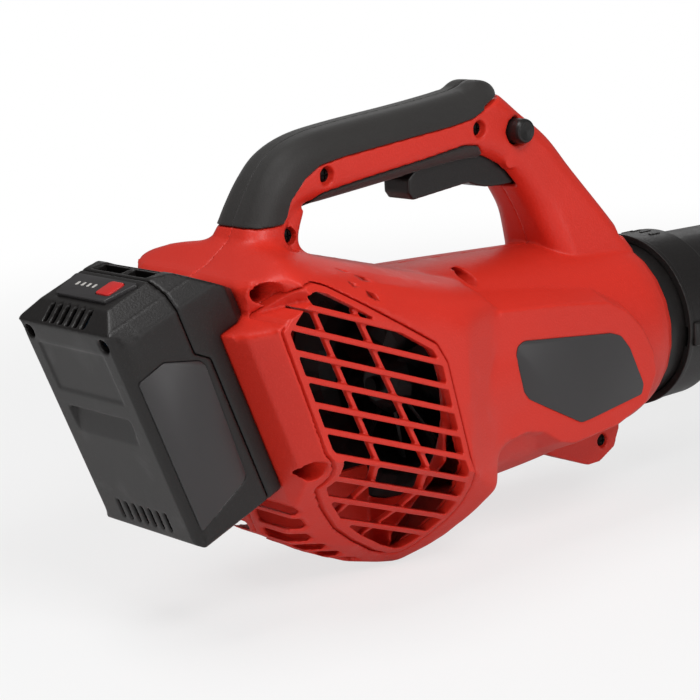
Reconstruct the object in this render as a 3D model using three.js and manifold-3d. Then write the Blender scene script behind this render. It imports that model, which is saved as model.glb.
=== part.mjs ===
// Hand-held cordless leaf blower: two moulded shells with a loop handle, an axial fan in a round
// tunnel, side intake grilles, a bayonet blow tube and a slide-in battery pack that leans back.
// Millimetres. X runs forward along the nozzle axis, Y to the left, Z up.
import * as THREE from 'three';
import { mergeVertices } from 'three/addons/utils/BufferGeometryUtils.js';
import Module from 'manifold-3d';

const wasm = await Module();
wasm.setup();

// ---------------------------------------------------------------- driving dimensions
const GAP = 0.3; // clearance between touching curved pieces
const WALL = 3; // shell wall of the housing
const LEAN = 21; // degrees that the battery leans back

// intake chamber at the rear of the housing
const CHAMBER_HALF = 70; // half width at the grilles
const CHAMBER_TOP = 67; // height of the top at the bell mouth
const CHAMBER_BOTTOM = 97; // depth of the keel at the bell mouth
const CHAMBER_DROP = 0.28; // how far the chamber's lines fall per millimetre forward
const CHAMBER_FRONT = 40; // where the chamber ends and the nozzle barrel goes on
const FOOT_BACK = -97.5; // plane of the battery foot, along the battery's own depth axis
const FOOT_HALF = 41; // half width of the foot at that plane
const FOOT_TOP = 96.5; // top of the foot along the battery's own height axis
const HOOD_BACK = -79.5; // rear edge of the hood over the foot
const HOOD_SWEEP = 10; // how far the hood's corners are swept forward

// nozzle barrel: x, radius of the top, radius of the bottom
const BARREL = [
  [-12, 64, 66],
  [40, 62, 66],
  [93, 59.5, 64],
  [135, 57.5, 60],
  [170, 55.5, 57.5],
  [183, 53.5, 54],
  [190, 50, 50.5],
];
const BARREL_SIDES = 24;
const PAD_HALF = 60; // half width over the flat side pads
const PAD_ROOT = 15; // half width where a pad's slopes end inside the barrel
const PAD_SLOPE = 18; // how far a pad's outline grows from its face to its root
const PAD_OUTLINE = [
  [-20, 44], [8, 42], [41, 40], [86, 36], [124, 31], [139, 24], [152, 12], [161, -3], [163, -16],
  [154, -31], [130, -39], [95, -42], [84, -39], [72, -31], [58, -28], [46, -30], [36, -36], [-20, -40],
];
const LABEL_OUTLINE = [
  [51, 15], [53, 20], [58, 22], [126, 14], [134, 11], [141, 3], [152, -20], [150, -26], [108, -31.5], [100, -32],
  [60, -11], [56, -6],
];
const LABEL_THICK = 1;

// loop handle: outer x, outer z, inner x, inner z, half width
const HANDLE_HALF = 18;
const HANDLE = [
  [-92, 82, -48, 62, HANDLE_HALF + 9],
  [-86, 93, -57, 82, HANDLE_HALF + 3],
  [-78, 107, -58, 94, HANDLE_HALF + 0.5],
  [-68, 121.5, -52, 101, HANDLE_HALF],
  [-57, 131, -44, 104, HANDLE_HALF],
  [-40, 137.5, -33, 105, HANDLE_HALF],
  [-15, 141, -10, 107, HANDLE_HALF],
  [33, 145, 35, 111, HANDLE_HALF],
  [62, 148, 66, 113, HANDLE_HALF],
  [76, 150, 79, 112, HANDLE_HALF],
  [86, 150, 88, 108, HANDLE_HALF],
  [94, 146, 96, 103, HANDLE_HALF],
  [108, 135, 103, 96, HANDLE_HALF + 1],
  [128, 120, 109, 88, HANDLE_HALF + 2],
  [146, 100, 116, 77, HANDLE_HALF + 3],
  [170, 72, 122, 64, HANDLE_HALF + 6],
  [190, 47, 128, 47, HANDLE_HALF + 9],
];
const HANDLE_CAVITY = [4, 14]; // stations between which the handle is hollow
const HANDLE_WALL = 4;
const HANDLE_ROUND = 12; // corner radius of the handle's section
const GRIP_THICK = 3; // soft overmould
const GRIP_PROUD = 0.8; // how far the overmould stands above the shell
const TOP_GRIP_OUTLINE = [
  [-112, 97], [-98, 98.5], [-80, 97], [-66, 97.5], [-62.5, 101], [-60, 108], [-50, 118], [-40, 123.5],
  [-24, 126], [15, 129.5], [51, 132.5], [68, 135], [80, 140], [88, 143], [96.5, 146], [96.5, 170],
  [-60, 160], [-112, 130],
];
const UNDER_GRIP_OUTLINE = [
  [-56, 96], [-48, 103.5], [-36, 109.5], [-14, 112.5], [30, 117.5], [62, 121.5], [72, 120.5], [77, 115.5],
  [76, 104], [25, 98],
];
const GRIP_HUMP = [82.5, 142.3, 12]; // x, z and radius of the hump at the grip's front end
const GRIP_HUMP_HALF = 12;

// intake grilles: the outline of one, seen from the side
const GRILLE_OUTLINE = [
  [-112.6, 58.3], [-110.2, 60.2], [-97.5, 73.4], [-92.3, 76.7], [-86, 77], [-79, 74.5], [-14, 35], [-7, 24], [6, -28],
  [9.5, -37], [13.7, -46.5], [16, -58], [15, -68], [11, -77], [5, -85], [-1, -88.6], [-7, -88.2], [-18.3, -83.2],
  [-38, -71.3], [-56, -58.4], [-70.7, -44], [-81.3, -31.5], [-84.4, -27], [-81.2, -23.5], [-80.6, -19.5],
  [-82, -15.5], [-85.4, -11], [-89.6, -6.2],
];
const GRILLE_RIM = 5; // width of the frame round the slats
const GRILLE_THICK = 5;
const GRILLE_SEAT = 2.2; // thickness of the ledge behind the frame
const SLAT_PITCH = 11.8; // measured straight down
const SLAT_THICK = 4.2;
const SLAT_SLOPE = 20.3; // degrees that the slats fall toward the front
const SLAT_X = -50; // where the slats' heights are counted
const SLAT_TOP = 50.4;
const SLATS = 10;
// the line of each cross bar, from its upper end down: x, z
const CROSS_BARS = [
  [[-94.5, 73], [-54.8, -19], [-50.5, -30], [-54.6, -41], [-60, -53]],
  [[-64.8, 60], [-22.3, -27], [-15.8, -43.5], [-20.6, -54.3], [-33, -70]],
];
const CROSS_BAR_THICK = 4;
// louvres: where each one's upper edge ends (x, z), and its height
const LOUVRES = [
  [-89.4, -37.2, 5.2], [-80.2, -46.9, 6.2], [-69.8, -59, 4.6], [-55, -69.2, 3.6], [-40.9, -77.7, 3.2],
  [-25.6, -85.8, 3],
];
const LOUVRE_FALL = 0.2; // how far a louvre falls per millimetre forward
const LOUVRE_SLANT = 9; // how much further forward its lower edge runs
const LOUVRE_DEPTH = 2.5; // past the wall
const KEEL_WEB = 3; // thickness of the web that stands on the keel inside
const KEEL_WEB_TOP = -42;
const LOUVRE_KEEL = 6; // half width of the keel left between the louvres of the two sides
const DIAMOND_VENTS = [[-64, 80, 4], [-52, 73, 6], [-57, 73, 4], [-45, 67, 6]]; // x, z, half length

// fan shroud
const ROUND = 28; // sides of the large round pieces
const MOTOR_ROUND = 20; // sides of the motor's pieces
const TUNNEL_R = 44; // inner radius of the fan tunnel
const TUNNEL_WALL = 2.5;
const BELL_R = 60; // bell mouth
const BULKHEAD_X = -5; // wall between the intake chamber and the barrel
const SHROUD_RIB_X = 60;
const SHROUD_END = 110;
const RIB_THICK = 3;
const FLANGE_REACH = 2.5; // how far a locating flange stands out past the bore of its rib
const VANES = 7;
const VANE_START = 62;
const VANE_END = 87;
const VANE_THICK = 2;
const POD_R = 20;
const POD_START = 46;
const POD_END = 104;

// fan and motor
const FAN_BLADES = 9;
const FAN_TIP_GAP = 1.4;
const FAN_HUB_R = 18;
const FAN_FRONT = 5;
const FAN_BACK = 42;
const BLADE_THICK = 1.8;
const STATOR_R = 17;
const STATOR_BORE = 11.4;
const STATOR_START = 54;
const STATOR_END = 86;
const AIR_GAP = 0.6; // between the stator and the magnet
const SHAFT_R = 2.5;
const SHAFT_START = 8;
const SHAFT_END = 98;
const BEARING_R = 8;
const BEARING_WIDTH = 4;
const END_CAP_X = 92;
const TAIL_END = 152;

// outlet duct and blow tube
const DUCT_WALL = 2.8;
const DUCT_R = TUNNEL_R + DUCT_WALL;
const DUCT_START = 100;
const DUCT_RIB_X = 130;
const DUCT_END = 225;
const MOUTH_RIB_X = 182;
const BAYONET_LUGS = 3;
const BAYONET_X = 212;
const BAYONET_WIDTH = 4;
const BAYONET_HEIGHT = 2.2;
const BAYONET_HALF = 6; // half the angle of a lug, in degrees
const BAYONET_TWIST = 25; // degrees from locked to open
const COLLAR_START = 203;
const COLLAR_END = 233;
const COLLAR_WALL = 3.2;
const COLLAR_BEAD = 0.9;
const TUBE_END = 670;
const TUBE_END_R = 36;
const TUBE_WALL = 2.4;
const TUBE_SHOULDER = 238;
const TWIST_BLOCK = [206, 240, -10, 4]; // x from and to, z from and to
const TWIST_BLOCK_REACH = 53;

// battery pack, in its own leaning axes: depth, width, height
const PACK_BACK = -152;
const PACK_FRONT = -98;
const PACK_SEAM = -114.7; // where the two cases meet above the side panels
const PACK_SEAM_LOW = -107.5; // and beside them
const PACK_HALF = 41;
const PACK_BOTTOM = 8;
const PACK_TOP = 135;
const PACK_BACK_TOP = 128;
const PACK_LIP_TOP = 112; // height at the lip's front edge
const PACK_WALL = 2.6;
const LIP_CLEAR = 0.5; // between the pack's lip and the housing
const RAIL_HEAD_HALF = 26;
const RAIL_NECK_HALF = 22;
const RAIL_FRONT = -89;
const RAIL_STEP = -93.4; // where the neck widens to the head
const RAIL_BOTTOM = 27.1;
const RAIL_TOP = 94;
const RAIL_CLEAR = 0.4;
const CELL_R = 9.1;
const CELL_LENGTH = 65;
const CELL_COLUMNS = [-136.5, -117.4];
const CELL_ROWS = 5;
const CELL_FIRST = 22;
const CELL_PITCH = 19.6;
const PACK_BOARD_X = -107;
const BOARD_THICK = 1.6;
const SIDE_PANEL_OUTLINE = [
  [-148.5, 101.5], [-131.8, 103], [-113.4, 92.8], [-111.2, 89], [-113.6, 28], [-116, 25.5], [-148.5, 17],
];
const SIDE_PANEL_THICK = 1;
const GAUGE_OUTLINE = [[-137, 20.5], [-119, 26], [-119, -26], [-137, -20.5]];
const GAUGE_FLOOR = 134;
const GAUGE_THICK = 1.9;
const GAUGE_BUTTON = [-127, -13, 4.2]; // depth, width, radius
const GAUGE_BUTTON_PROUD = 0.8;
const LATCH_WELL = [-112, -100, 22.3, 114]; // back, front, half width, floor
const LATCH_BACK = -104.5;
const LATCH_BOTTOM = 120.6;
const PACK_SCREW_IN = 10; // from the pack's side to each screw
const PACK_SCREW_Z = 122;
const PACK_SCREW_HEAD_X = -146;
const PACK_SCREW_TIP_X = -105;
// slots through the rear case: count, pitch across and width
const BACK_VENTS = [7, 6.5, 2];
const TOP_VENTS = [6, 6.3, 3.2];

// battery receiver and controller, in the battery's axes
const RECEIVER_HALF = 33;
const RECEIVER_FLANGE = 3; // the flange behind the foot's wall
const RECEIVER_BOTTOM = 24;
const RECEIVER_FRONT = -86.5;
const BLADE_Y = 12; // contact blades left and right of the middle
const CONTACT_THICK = 1;
const CONTACT = [-96.5, -80, 40, 52]; // depth from and to, height from and to
const CONTACT_CLEAR = 1.2; // room beside a blade in the pack
const TRAY_BACK = -78;
const TRAY_HALF = 30;
const TRAY_BOTTOM = 28;
const TRAY_TOP = 88;
const TRAY_WALL = 2;
const TRAY_DEPTH = 10;
const BOARD_LIFT = 2.5; // posts under the controller board
const FINS = 8;
const FIN_THICK = 1.4;
const FIN_DEPTH = 9;

// screws: x and z of each, and the radius of the well that its head lies in
const SCREWS = [
  [-35, 118, 4.6], [73, 129, 4.6], [-61, 91, 4.6], [-104, 73, 5.4], [-89.9, -15.6, 5.4], [178, 59, 4.6],
  [165, -63, 4.2], [48, 53.8, 4.2],
];
const SCREW_SHANK_R = 1.7;
const SCREW_HEAD_R = 3.6;
const SCREW_HEAD_HEIGHT = 2.4;
const SCREW_HEAD_Y = 13; // underside of the head, right of the parting plane
const SCREW_TIP_Y = 11;
const BOSS_WALL = 1.2; // round a screw's well
const LUG_OUTLINE = [[116, -50], [120, -62], [152, -75], [163, -75], [175, -69], [180, -57], [178, -45]];
const LUG_HALF = 16;

// controls
const TRIGGER_PIVOT = [97, 109];
const TRIGGER_PIN_R = 2;
const TRIGGER_HALF = 10;
const TRIGGER_CLEAR = 0.6;
const TRIGGER_TOP = 114;
const TRIGGER_OUTLINE = [
  [30, 96], [71, 100], [76, 98], [84, 96], [95, 95.2], [104, 95.6], [106, 99], [103, 112], [98, 116], [91, 116],
  [84, 115], [60, TRIGGER_TOP], [34, TRIGGER_TOP], [27, 107], [27, 100],
];
const SWITCH = [36, 66, 8, 124, 136]; // x from and to, half width, z from and to
const TRIGGER_SPRING_X = 48;
const BUTTON_AXIS = [101, 125];
const BUTTON_R = 6.8;
const BUTTON_RECESS = [1.3, 2.5]; // round the button: reach and depth
const BUTTON_PROUD = 7.5;
const BUTTON_FLANGE = [1.8, -11.5, -9]; // reach, y from and to
const BUTTON_END = -8;

// ---------------------------------------------------------------- materials
function plastic(color, roughness = 0.5, metalness = 0) {
  return new THREE.MeshStandardMaterial({ color, roughness, metalness });
}
const RED = plastic(0xc23424, 0.42);
const BLACK = plastic(0x2b2a2a, 0.5);
const RUBBER = plastic(0x252525, 0.8);
const PLATE = plastic(0x37363a, 0.45);
const STEEL = plastic(0x9a9a9c, 0.35, 1);
const COPPER = plastic(0xb06a3b, 0.4, 1);
const BOARD = plastic(0x1f5a34, 0.5);
const CELL = plastic(0x3f7fae, 0.45);
const BUTTON_RED = plastic(0xb3261c, 0.4);

// ---------------------------------------------------------------- helpers
const rad = THREE.MathUtils.degToRad;
const leaning = new THREE.Matrix4().makeRotationY(-rad(LEAN));
const upright = new THREE.Matrix4();

// a closed three.js geometry becomes a solid that can be joined and cut
function solid(geometry, matrix = upright) {
  const plain = geometry.clone();
  plain.deleteAttribute('normal');
  plain.deleteAttribute('uv');
  plain.applyMatrix4(matrix);
  const merged = mergeVertices(plain, 1e-4);
  turnOutward(merged);
  const mesh = new wasm.Mesh({
    numProp: 3,
    vertProperties: new Float32Array(merged.attributes.position.array),
    triVerts: new Uint32Array(merged.index.array),
  });
  return new wasm.Manifold(mesh);
}

function join(first, ...others) {
  return others.reduce((sum, next) => sum.add(next), first);
}

function shapeOf(points) {
  return new THREE.Shape(points.map(([a, b]) => new THREE.Vector2(a, b)));
}

// an outline in X and Z, extruded along Y
function sidePrism(points, yFrom, yTo, matrix = upright) {
  const geometry = new THREE.ExtrudeGeometry(shapeOf(points), { depth: yTo - yFrom, bevelEnabled: false });
  geometry.rotateX(Math.PI / 2);
  geometry.translate(0, yTo, 0);
  return solid(geometry, matrix);
}

// an outline in X and Y, extruded along Z
function planPrism(points, zFrom, zTo, matrix = upright) {
  const geometry = new THREE.ExtrudeGeometry(shapeOf(points), { depth: zTo - zFrom, bevelEnabled: false });
  geometry.translate(0, 0, zFrom);
  return solid(geometry, matrix);
}

// an outline in Y and Z, extruded along X
function frontPrism(points, xFrom, xTo, matrix = upright) {
  const geometry = new THREE.ExtrudeGeometry(shapeOf(points), { depth: xTo - xFrom, bevelEnabled: false });
  geometry.applyMatrix4(new THREE.Matrix4().set(0, 0, 1, xFrom, 1, 0, 0, 0, 0, 1, 0, 0, 0, 0, 0, 1));
  return solid(geometry, matrix);
}

function box(x0, x1, y0, y1, z0, z1, matrix = upright) {
  const geometry = new THREE.BoxGeometry(x1 - x0, y1 - y0, z1 - z0);
  geometry.translate((x0 + x1) / 2, (y0 + y1) / 2, (z0 + z1) / 2);
  return solid(geometry, matrix);
}

// a profile of [x, radius] points turned about the X axis
function turned(profile, sides = 36, centre = [0, 0]) {
  const points = profile.map(([x, r]) => new THREE.Vector2(r, x));
  const geometry = new THREE.LatheGeometry([...points, points[0]], sides);
  geometry.rotateZ(-Math.PI / 2);
  geometry.translate(0, centre[0], centre[1]);
  return solid(geometry);
}

// a plain round bar along Y
function barY(x, z, radius, yFrom, yTo, sides = 16, matrix = upright) {
  const geometry = new THREE.CylinderGeometry(radius, radius, yTo - yFrom, sides);
  geometry.translate(x, (yFrom + yTo) / 2, z);
  return solid(geometry, matrix);
}

// rings of equal point count, skinned one to the next and closed at both ends
function loft(rings, matrix = upright) {
  const count = rings[0].length;
  const positions = [];
  const index = [];
  for (const ring of rings) for (const point of ring) positions.push(...point);
  for (let s = 0; s + 1 < rings.length; s += 1) {
    for (let i = 0; i < count; i += 1) {
      const j = (i + 1) % count;
      const a = s * count + i;
      const b = s * count + j;
      index.push(a, b, a + count, b, b + count, a + count);
    }
  }
  for (const s of [0, rings.length - 1]) {
    const centre = positions.length / 3;
    const ring = rings[s];
    positions.push(...[0, 1, 2].map((k) => ring.reduce((sum, p) => sum + p[k], 0) / count));
    for (let i = 0; i < count; i += 1) {
      const a = s * count + i;
      const b = s * count + ((i + 1) % count);
      if (s === 0) index.push(b, a, centre);
      else index.push(a, b, centre);
    }
  }
  const geometry = new THREE.BufferGeometry();
  geometry.setAttribute('position', new THREE.Float32BufferAttribute(positions, 3));
  geometry.setIndex(index);
  return solid(geometry, matrix);
}

// turns a mesh whose faces point inward the right way out
function turnOutward(geometry) {
  const { position } = geometry.attributes;
  const index = geometry.index.array;
  const [a, b, c] = [new THREE.Vector3(), new THREE.Vector3(), new THREE.Vector3()];
  let volume = 0;
  for (let i = 0; i < index.length; i += 3) {
    a.fromBufferAttribute(position, index[i]);
    b.fromBufferAttribute(position, index[i + 1]);
    c.fromBufferAttribute(position, index[i + 2]);
    volume += a.dot(b.cross(c));
  }
  if (volume > 0) return;
  for (let i = 0; i < index.length; i += 3) [index[i], index[i + 1]] = [index[i + 1], index[i]];
}

// moves each side of an outline outward by a distance (inward when it is negative)
function grown(points, distance) {
  const area = points.reduce((sum, [x, y], i) => {
    const [nx, ny] = points[(i + 1) % points.length];
    return sum + x * ny - nx * y;
  }, 0);
  const turn = Math.sign(area);
  return points.map((point, i) => {
    const before = points[(i + points.length - 1) % points.length];
    const after = points[(i + 1) % points.length];
    const d1 = new THREE.Vector2(point[0] - before[0], point[1] - before[1]).normalize();
    const d2 = new THREE.Vector2(after[0] - point[0], after[1] - point[1]).normalize();
    const n1 = new THREE.Vector2(d1.y, -d1.x);
    const n2 = new THREE.Vector2(d2.y, -d2.x);
    const middle = n1.clone().add(n2).normalize();
    const reach = (distance * turn) / Math.max(0.35, middle.dot(n1));
    return [point[0] + middle.x * reach, point[1] + middle.y * reach];
  });
}

// a half outline that starts and ends on the centre line, completed on the other side
function mirrored(halfOutline) {
  const other = halfOutline.slice(1, -1).map(([y, z]) => [-y, z]);
  return [...halfOutline, ...other.reverse()];
}

const group = new THREE.Group();
const pack = new THREE.Group();
pack.rotation.y = -rad(LEAN);
group.add(pack);

// a cut can leave loose slivers beside a moulding: the moulding is the largest body
function largest(manifold) {
  return manifold.decompose().reduce((a, b) => (b.volume() > a.volume() ? b : a));
}

function geometryOf(manifold) {
  const { vertProperties, triVerts } = manifold.getMesh();
  const geometry = new THREE.BufferGeometry();
  geometry.setAttribute('position', new THREE.Float32BufferAttribute(vertProperties, 3));
  geometry.setIndex(Array.from(triVerts));
  return geometry;
}

// the same piece on the other side of the centre plane
function otherSide(manifold) {
  return solid(geometryOf(manifold).scale(1, -1, 1));
}

function place(name, manifold, material, parent = group) {
  const mesh = new THREE.Mesh(geometryOf(manifold), material);
  mesh.name = name;
  parent.add(mesh);
  return mesh;
}

// ---------------------------------------------------------------- housing forms
const FAR = 300; // beyond everything but the blow tube
const half = { right: [-FAR, 0], left: [0, FAR] };
const SIDES = ['right', 'left'];
const sign = { right: -1, left: 1 };
const everywhere = box(-FAR, FAR, -FAR, FAR, -FAR, FAR);

function joinAll(list) {
  return list.reduce((sum, next) => sum.add(next));
}

// the chamber is the meeting of a side outline, a sheared section and plan outlines front and rear
function chamber(inset) {
  const sideOutline = grown([
    [-80, 94], [-86, 92], [-101, 81.5], [-120, 74.5], [-150, 62], [-93.9, -27.4], [-96, -45], [-88, -57],
    [-54, -77.5], [-20, -92.5], [8, -98], [25, -83], [33, -68], [CHAMBER_FRONT - 3, -50],
    [CHAMBER_FRONT, 90], [-40, 110],
  ], -inset);
  const section = grown(mirrored([
    [0, -CHAMBER_BOTTOM - 1], [9, -CHAMBER_BOTTOM + 1], [22, -CHAMBER_BOTTOM + 12], [CHAMBER_HALF, -34],
    [CHAMBER_HALF, 38], [CHAMBER_HALF - 1.7, 45], [CHAMBER_HALF - 6, 51.5], [CHAMBER_HALF - 13, 57],
    [CHAMBER_HALF - 24, CHAMBER_TOP - 5.5], [30, CHAMBER_TOP - 2], [0, CHAMBER_TOP],
  ]), -inset);
  const rearPlan = (back, sweep) => grown([
    [back, FOOT_HALF], [back, -FOOT_HALF], [back + 3 + sweep, -56], [back + 12 + sweep, -CHAMBER_HALF - 1],
    [FAR, -CHAMBER_HALF - 1], [FAR, CHAMBER_HALF + 1], [back + 12 + sweep, CHAMBER_HALF + 1],
    [back + 3 + sweep, 56],
  ], -inset);
  const frontPlan = grown([
    [-FAR, -CHAMBER_HALF - 0.5], [6, -CHAMBER_HALF - 0.5], [36, -PAD_HALF], [60, -PAD_HALF + 4],
    [60, PAD_HALF - 4], [36, PAD_HALF], [6, CHAMBER_HALF + 0.5], [-FAR, CHAMBER_HALF + 0.5],
  ], -inset);
  const shear = new THREE.Matrix4().set(1, 0, 0, 0, 0, 1, 0, 0, -CHAMBER_DROP, 0, 1, 0, 0, 0, 0, 1);
  const foot = planPrism(rearPlan(FOOT_BACK, 0), -FAR, FOOT_TOP - inset, leaning);
  const hood = planPrism(rearPlan(HOOD_BACK, HOOD_SWEEP), -FAR, FAR, leaning);
  return sidePrism(sideOutline, -FAR, FAR)
    .intersect(frontPrism(section, -FAR, FAR, shear))
    .intersect(foot.add(hood))
    .intersect(planPrism(frontPlan, -FAR, FAR));
}

function barrel(inset) {
  const rings = BARREL.map(([x, top, bottom], i) => {
    const shift = i === BARREL.length - 1 ? -inset : 0;
    const side = Math.min((top + bottom) / 2 - 1.5, top);
    return Array.from({ length: BARREL_SIDES }, (_, k) => {
      const angle = (2 * Math.PI * (k + 0.5)) / BARREL_SIDES;
      const reach = Math.sin(angle) > 0 ? top : bottom;
      return [x + shift, (side - inset) * Math.cos(angle), (reach - inset) * Math.sin(angle)];
    });
  });
  return loft(rings);
}

function pads(inset) {
  const face = grown(PAD_OUTLINE, -inset);
  const root = grown(PAD_OUTLINE, PAD_SLOPE - inset);
  const levels = [[-PAD_HALF + inset, face], [-PAD_ROOT, root], [PAD_ROOT, root], [PAD_HALF - inset, face]];
  return loft(levels.map(([y, outline]) => outline.map(([x, z]) => [x, y, z])));
}

// one section of the handle: a rounded box between the outer and the inner point
function handleRing([ox, oz, ix, iz, halfWidth], inset) {
  const centre = [(ox + ix) / 2, (oz + iz) / 2];
  const length = Math.hypot(ox - ix, oz - iz);
  const along = [(ox - ix) / length, (oz - iz) / length];
  const h = length / 2 - inset;
  const w = halfWidth - inset;
  const r = Math.max(2, Math.min(HANDLE_ROUND - inset, w - 1, h - 1));
  const ring = [];
  for (const [sy, sh, start] of [[1, 1, 0], [-1, 1, 90], [-1, -1, 180], [1, -1, 270]]) {
    for (const step of [0, 45, 90]) {
      const angle = rad(start + step);
      const y = sy * (w - r) + r * Math.cos(angle);
      const t = sh * (h - r) + r * Math.sin(angle);
      ring.push([centre[0] + along[0] * t, y, centre[1] + along[1] * t]);
    }
  }
  return ring;
}

function handle(inset, from = 0, to = HANDLE.length - 1) {
  return loft(HANDLE.slice(from, to + 1).map((station) => handleRing(station, inset)));
}

const lugForm = sidePrism(LUG_OUTLINE, -LUG_HALF, LUG_HALF);
const bodyOuter = join(chamber(0), barrel(0), pads(0));
const bodyInner = join(chamber(WALL), barrel(WALL), pads(WALL));
const handleOuter = handle(0);
const handleCavity = handle(HANDLE_WALL, ...HANDLE_CAVITY).subtract(bodyOuter);
const fullForm = join(bodyOuter, handleOuter, lugForm);

// ---------------------------------------------------------------- trigger, switch and lock button
const [pivotX, pivotZ] = TRIGGER_PIVOT;
const slotHalf = TRIGGER_HALF + TRIGGER_CLEAR;
const triggerSlot = join(
  box(23, 84, -slotHalf, slotHalf, 90, 130),
  sidePrism([
    [80, 90], [98, 90], [101, 93.6], [107.6, 93.6], [107.6, 100], [104.6, 114], [99.5, 118.6], [80, 122],
  ], -slotHalf, slotHalf),
);
place('trigger', sidePrism(TRIGGER_OUTLINE, -TRIGGER_HALF, TRIGGER_HALF)
  .subtract(barY(pivotX, pivotZ, TRIGGER_PIN_R + GAP, -FAR, FAR)), BLACK);
const pinHalf = HANDLE_HALF - 2;
place('trigger_pin', barY(pivotX, pivotZ, TRIGGER_PIN_R, -pinHalf, pinHalf), STEEL);

const [switchX0, switchX1, switchHalf, switchZ0, switchZ1] = SWITCH;
place('switch_module', join(
  box(switchX0, switchX1, -switchHalf, switchHalf, switchZ0, switchZ1),
  box(switchX0 + 4, switchX1 - 4, -switchHalf + 2, switchHalf - 2, switchZ1, switchZ1 + 2),
), BLACK);
// ribs in each shell hold the switch from the side
const switchRibs = joinAll([switchX0 + 2, switchX1 - 5].flatMap((x) => SIDES.map((side) => {
  const ends = [sign[side] * (switchHalf + GAP), sign[side] * (HANDLE_HALF - 1)].sort((a, b) => a - b);
  return box(x, x + 3, ...ends, switchZ0 - 3, switchZ1 + 3);
}))).intersect(handleOuter);

// a wire of radius `wire` wound round an axis that starts at a point and runs along Y or Z
function spring(x, y, z, radius, wire, length, turns, axis) {
  const steps = 6;
  const pitch = length / turns;
  const rings = [];
  for (let i = 0; i <= turns * steps; i += 1) {
    const angle = (2 * Math.PI * i) / steps;
    const rise = (pitch * i) / steps;
    rings.push(Array.from({ length: 4 }, (_, k) => {
      const a = (Math.PI * k) / 2;
      const r = radius + wire * Math.cos(a);
      const up = rise + wire * Math.sin(a);
      return axis === 'z'
        ? [x + r * Math.cos(angle), y + r * Math.sin(angle), z + up]
        : [x + r * Math.cos(angle), y + up, z + r * Math.sin(angle)];
    }));
  }
  return loft(rings);
}
const WIRE = 0.5;
const triggerSpringStart = TRIGGER_TOP + GAP + WIRE;
const triggerSpringLength = switchZ0 - GAP - WIRE - triggerSpringStart;
place('trigger_spring', spring(TRIGGER_SPRING_X, 0, triggerSpringStart, 3.2, WIRE, triggerSpringLength, 5, 'z'),
  STEEL);

const [buttonX, buttonZ] = BUTTON_AXIS;
const [flangeReach, flangeY0, flangeY1] = BUTTON_FLANGE;
const [recessReach, recessDepth] = BUTTON_RECESS;
const BUTTON_SIDES = 16;
place('lock_button', join(
  barY(buttonX, buttonZ, BUTTON_R, -HANDLE_HALF - BUTTON_PROUD, BUTTON_END, BUTTON_SIDES),
  barY(buttonX, buttonZ, BUTTON_R + flangeReach, flangeY0, flangeY1, BUTTON_SIDES),
), BLACK);
const buttonSpringStart = BUTTON_END + GAP + WIRE;
const buttonWell = HANDLE_HALF - HANDLE_WALL;
place('lock_button_spring', spring(buttonX, buttonSpringStart, buttonZ, 4, WIRE,
  buttonWell - GAP - WIRE - buttonSpringStart, 7, 'y'), STEEL);
const flangeHole = BUTTON_R + flangeReach + GAP;
const buttonHoles = join(
  barY(buttonX, buttonZ, BUTTON_R + GAP, -FAR, 0, BUTTON_SIDES),
  barY(buttonX, buttonZ, BUTTON_R + recessReach, -FAR, -HANDLE_HALF + recessDepth, BUTTON_SIDES),
  barY(buttonX, buttonZ, flangeHole, flangeY0 - GAP, buttonWell, BUTTON_SIDES),
);

// ---------------------------------------------------------------- grips
const [humpX, humpZ, humpR] = GRIP_HUMP;
const gripSkin = join(handle(-GRIP_PROUD), barY(humpX, humpZ, humpR, -GRIP_HUMP_HALF, GRIP_HUMP_HALF, 20));
const gripBed = handle(GRIP_THICK - GAP);
const keepOut = chamber(-GAP);
const GRIPS = { top_grip: TOP_GRIP_OUTLINE, under_grip: UNDER_GRIP_OUTLINE };
const gripRecess = handle(-5).subtract(handle(GRIP_THICK))
  .intersect(joinAll(Object.values(GRIPS).map((outline) => sidePrism(outline, -FAR, FAR))))
  .subtract(chamber(0));
for (const [name, outline] of Object.entries(GRIPS)) {
  const zone = sidePrism(grown(outline, -GAP), -FAR, FAR);
  const grip = gripSkin.subtract(gripBed).intersect(zone).subtract(keepOut).subtract(triggerSlot);
  for (const side of SIDES) {
    const one = grip.intersect(box(-FAR, FAR, ...half[side], -FAR, FAR));
    place(`${name}_${side}`, largest(one), RUBBER);
  }
}

// ---------------------------------------------------------------- housing screws and bosses
const SCREW_SIDES = 8;
SCREWS.forEach(([x, z], i) => {
  const headEnd = -SCREW_HEAD_Y - SCREW_HEAD_HEIGHT;
  const head = barY(x, z, SCREW_HEAD_R, headEnd, -SCREW_HEAD_Y, SCREW_SIDES);
  const shank = barY(x, z, SCREW_SHANK_R, -SCREW_HEAD_Y - 0.5, SCREW_TIP_Y, 8);
  place(`housing_screw_${i + 1}`, join(head, shank), STEEL);
});
const WELL_SIDES = 12;
const bosses = joinAll(SCREWS.map(([x, z, well]) => barY(x, z, well + BOSS_WALL, -FAR, FAR, WELL_SIDES)))
  .intersect(fullForm);
const screwHoles = joinAll(SCREWS.map(([x, z, well]) => join(
  barY(x, z, well, -FAR, -SCREW_HEAD_Y + 0.02, WELL_SIDES),
  barY(x, z, SCREW_SHANK_R + GAP, -FAR, SCREW_TIP_Y + 1, 8),
)));

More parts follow.
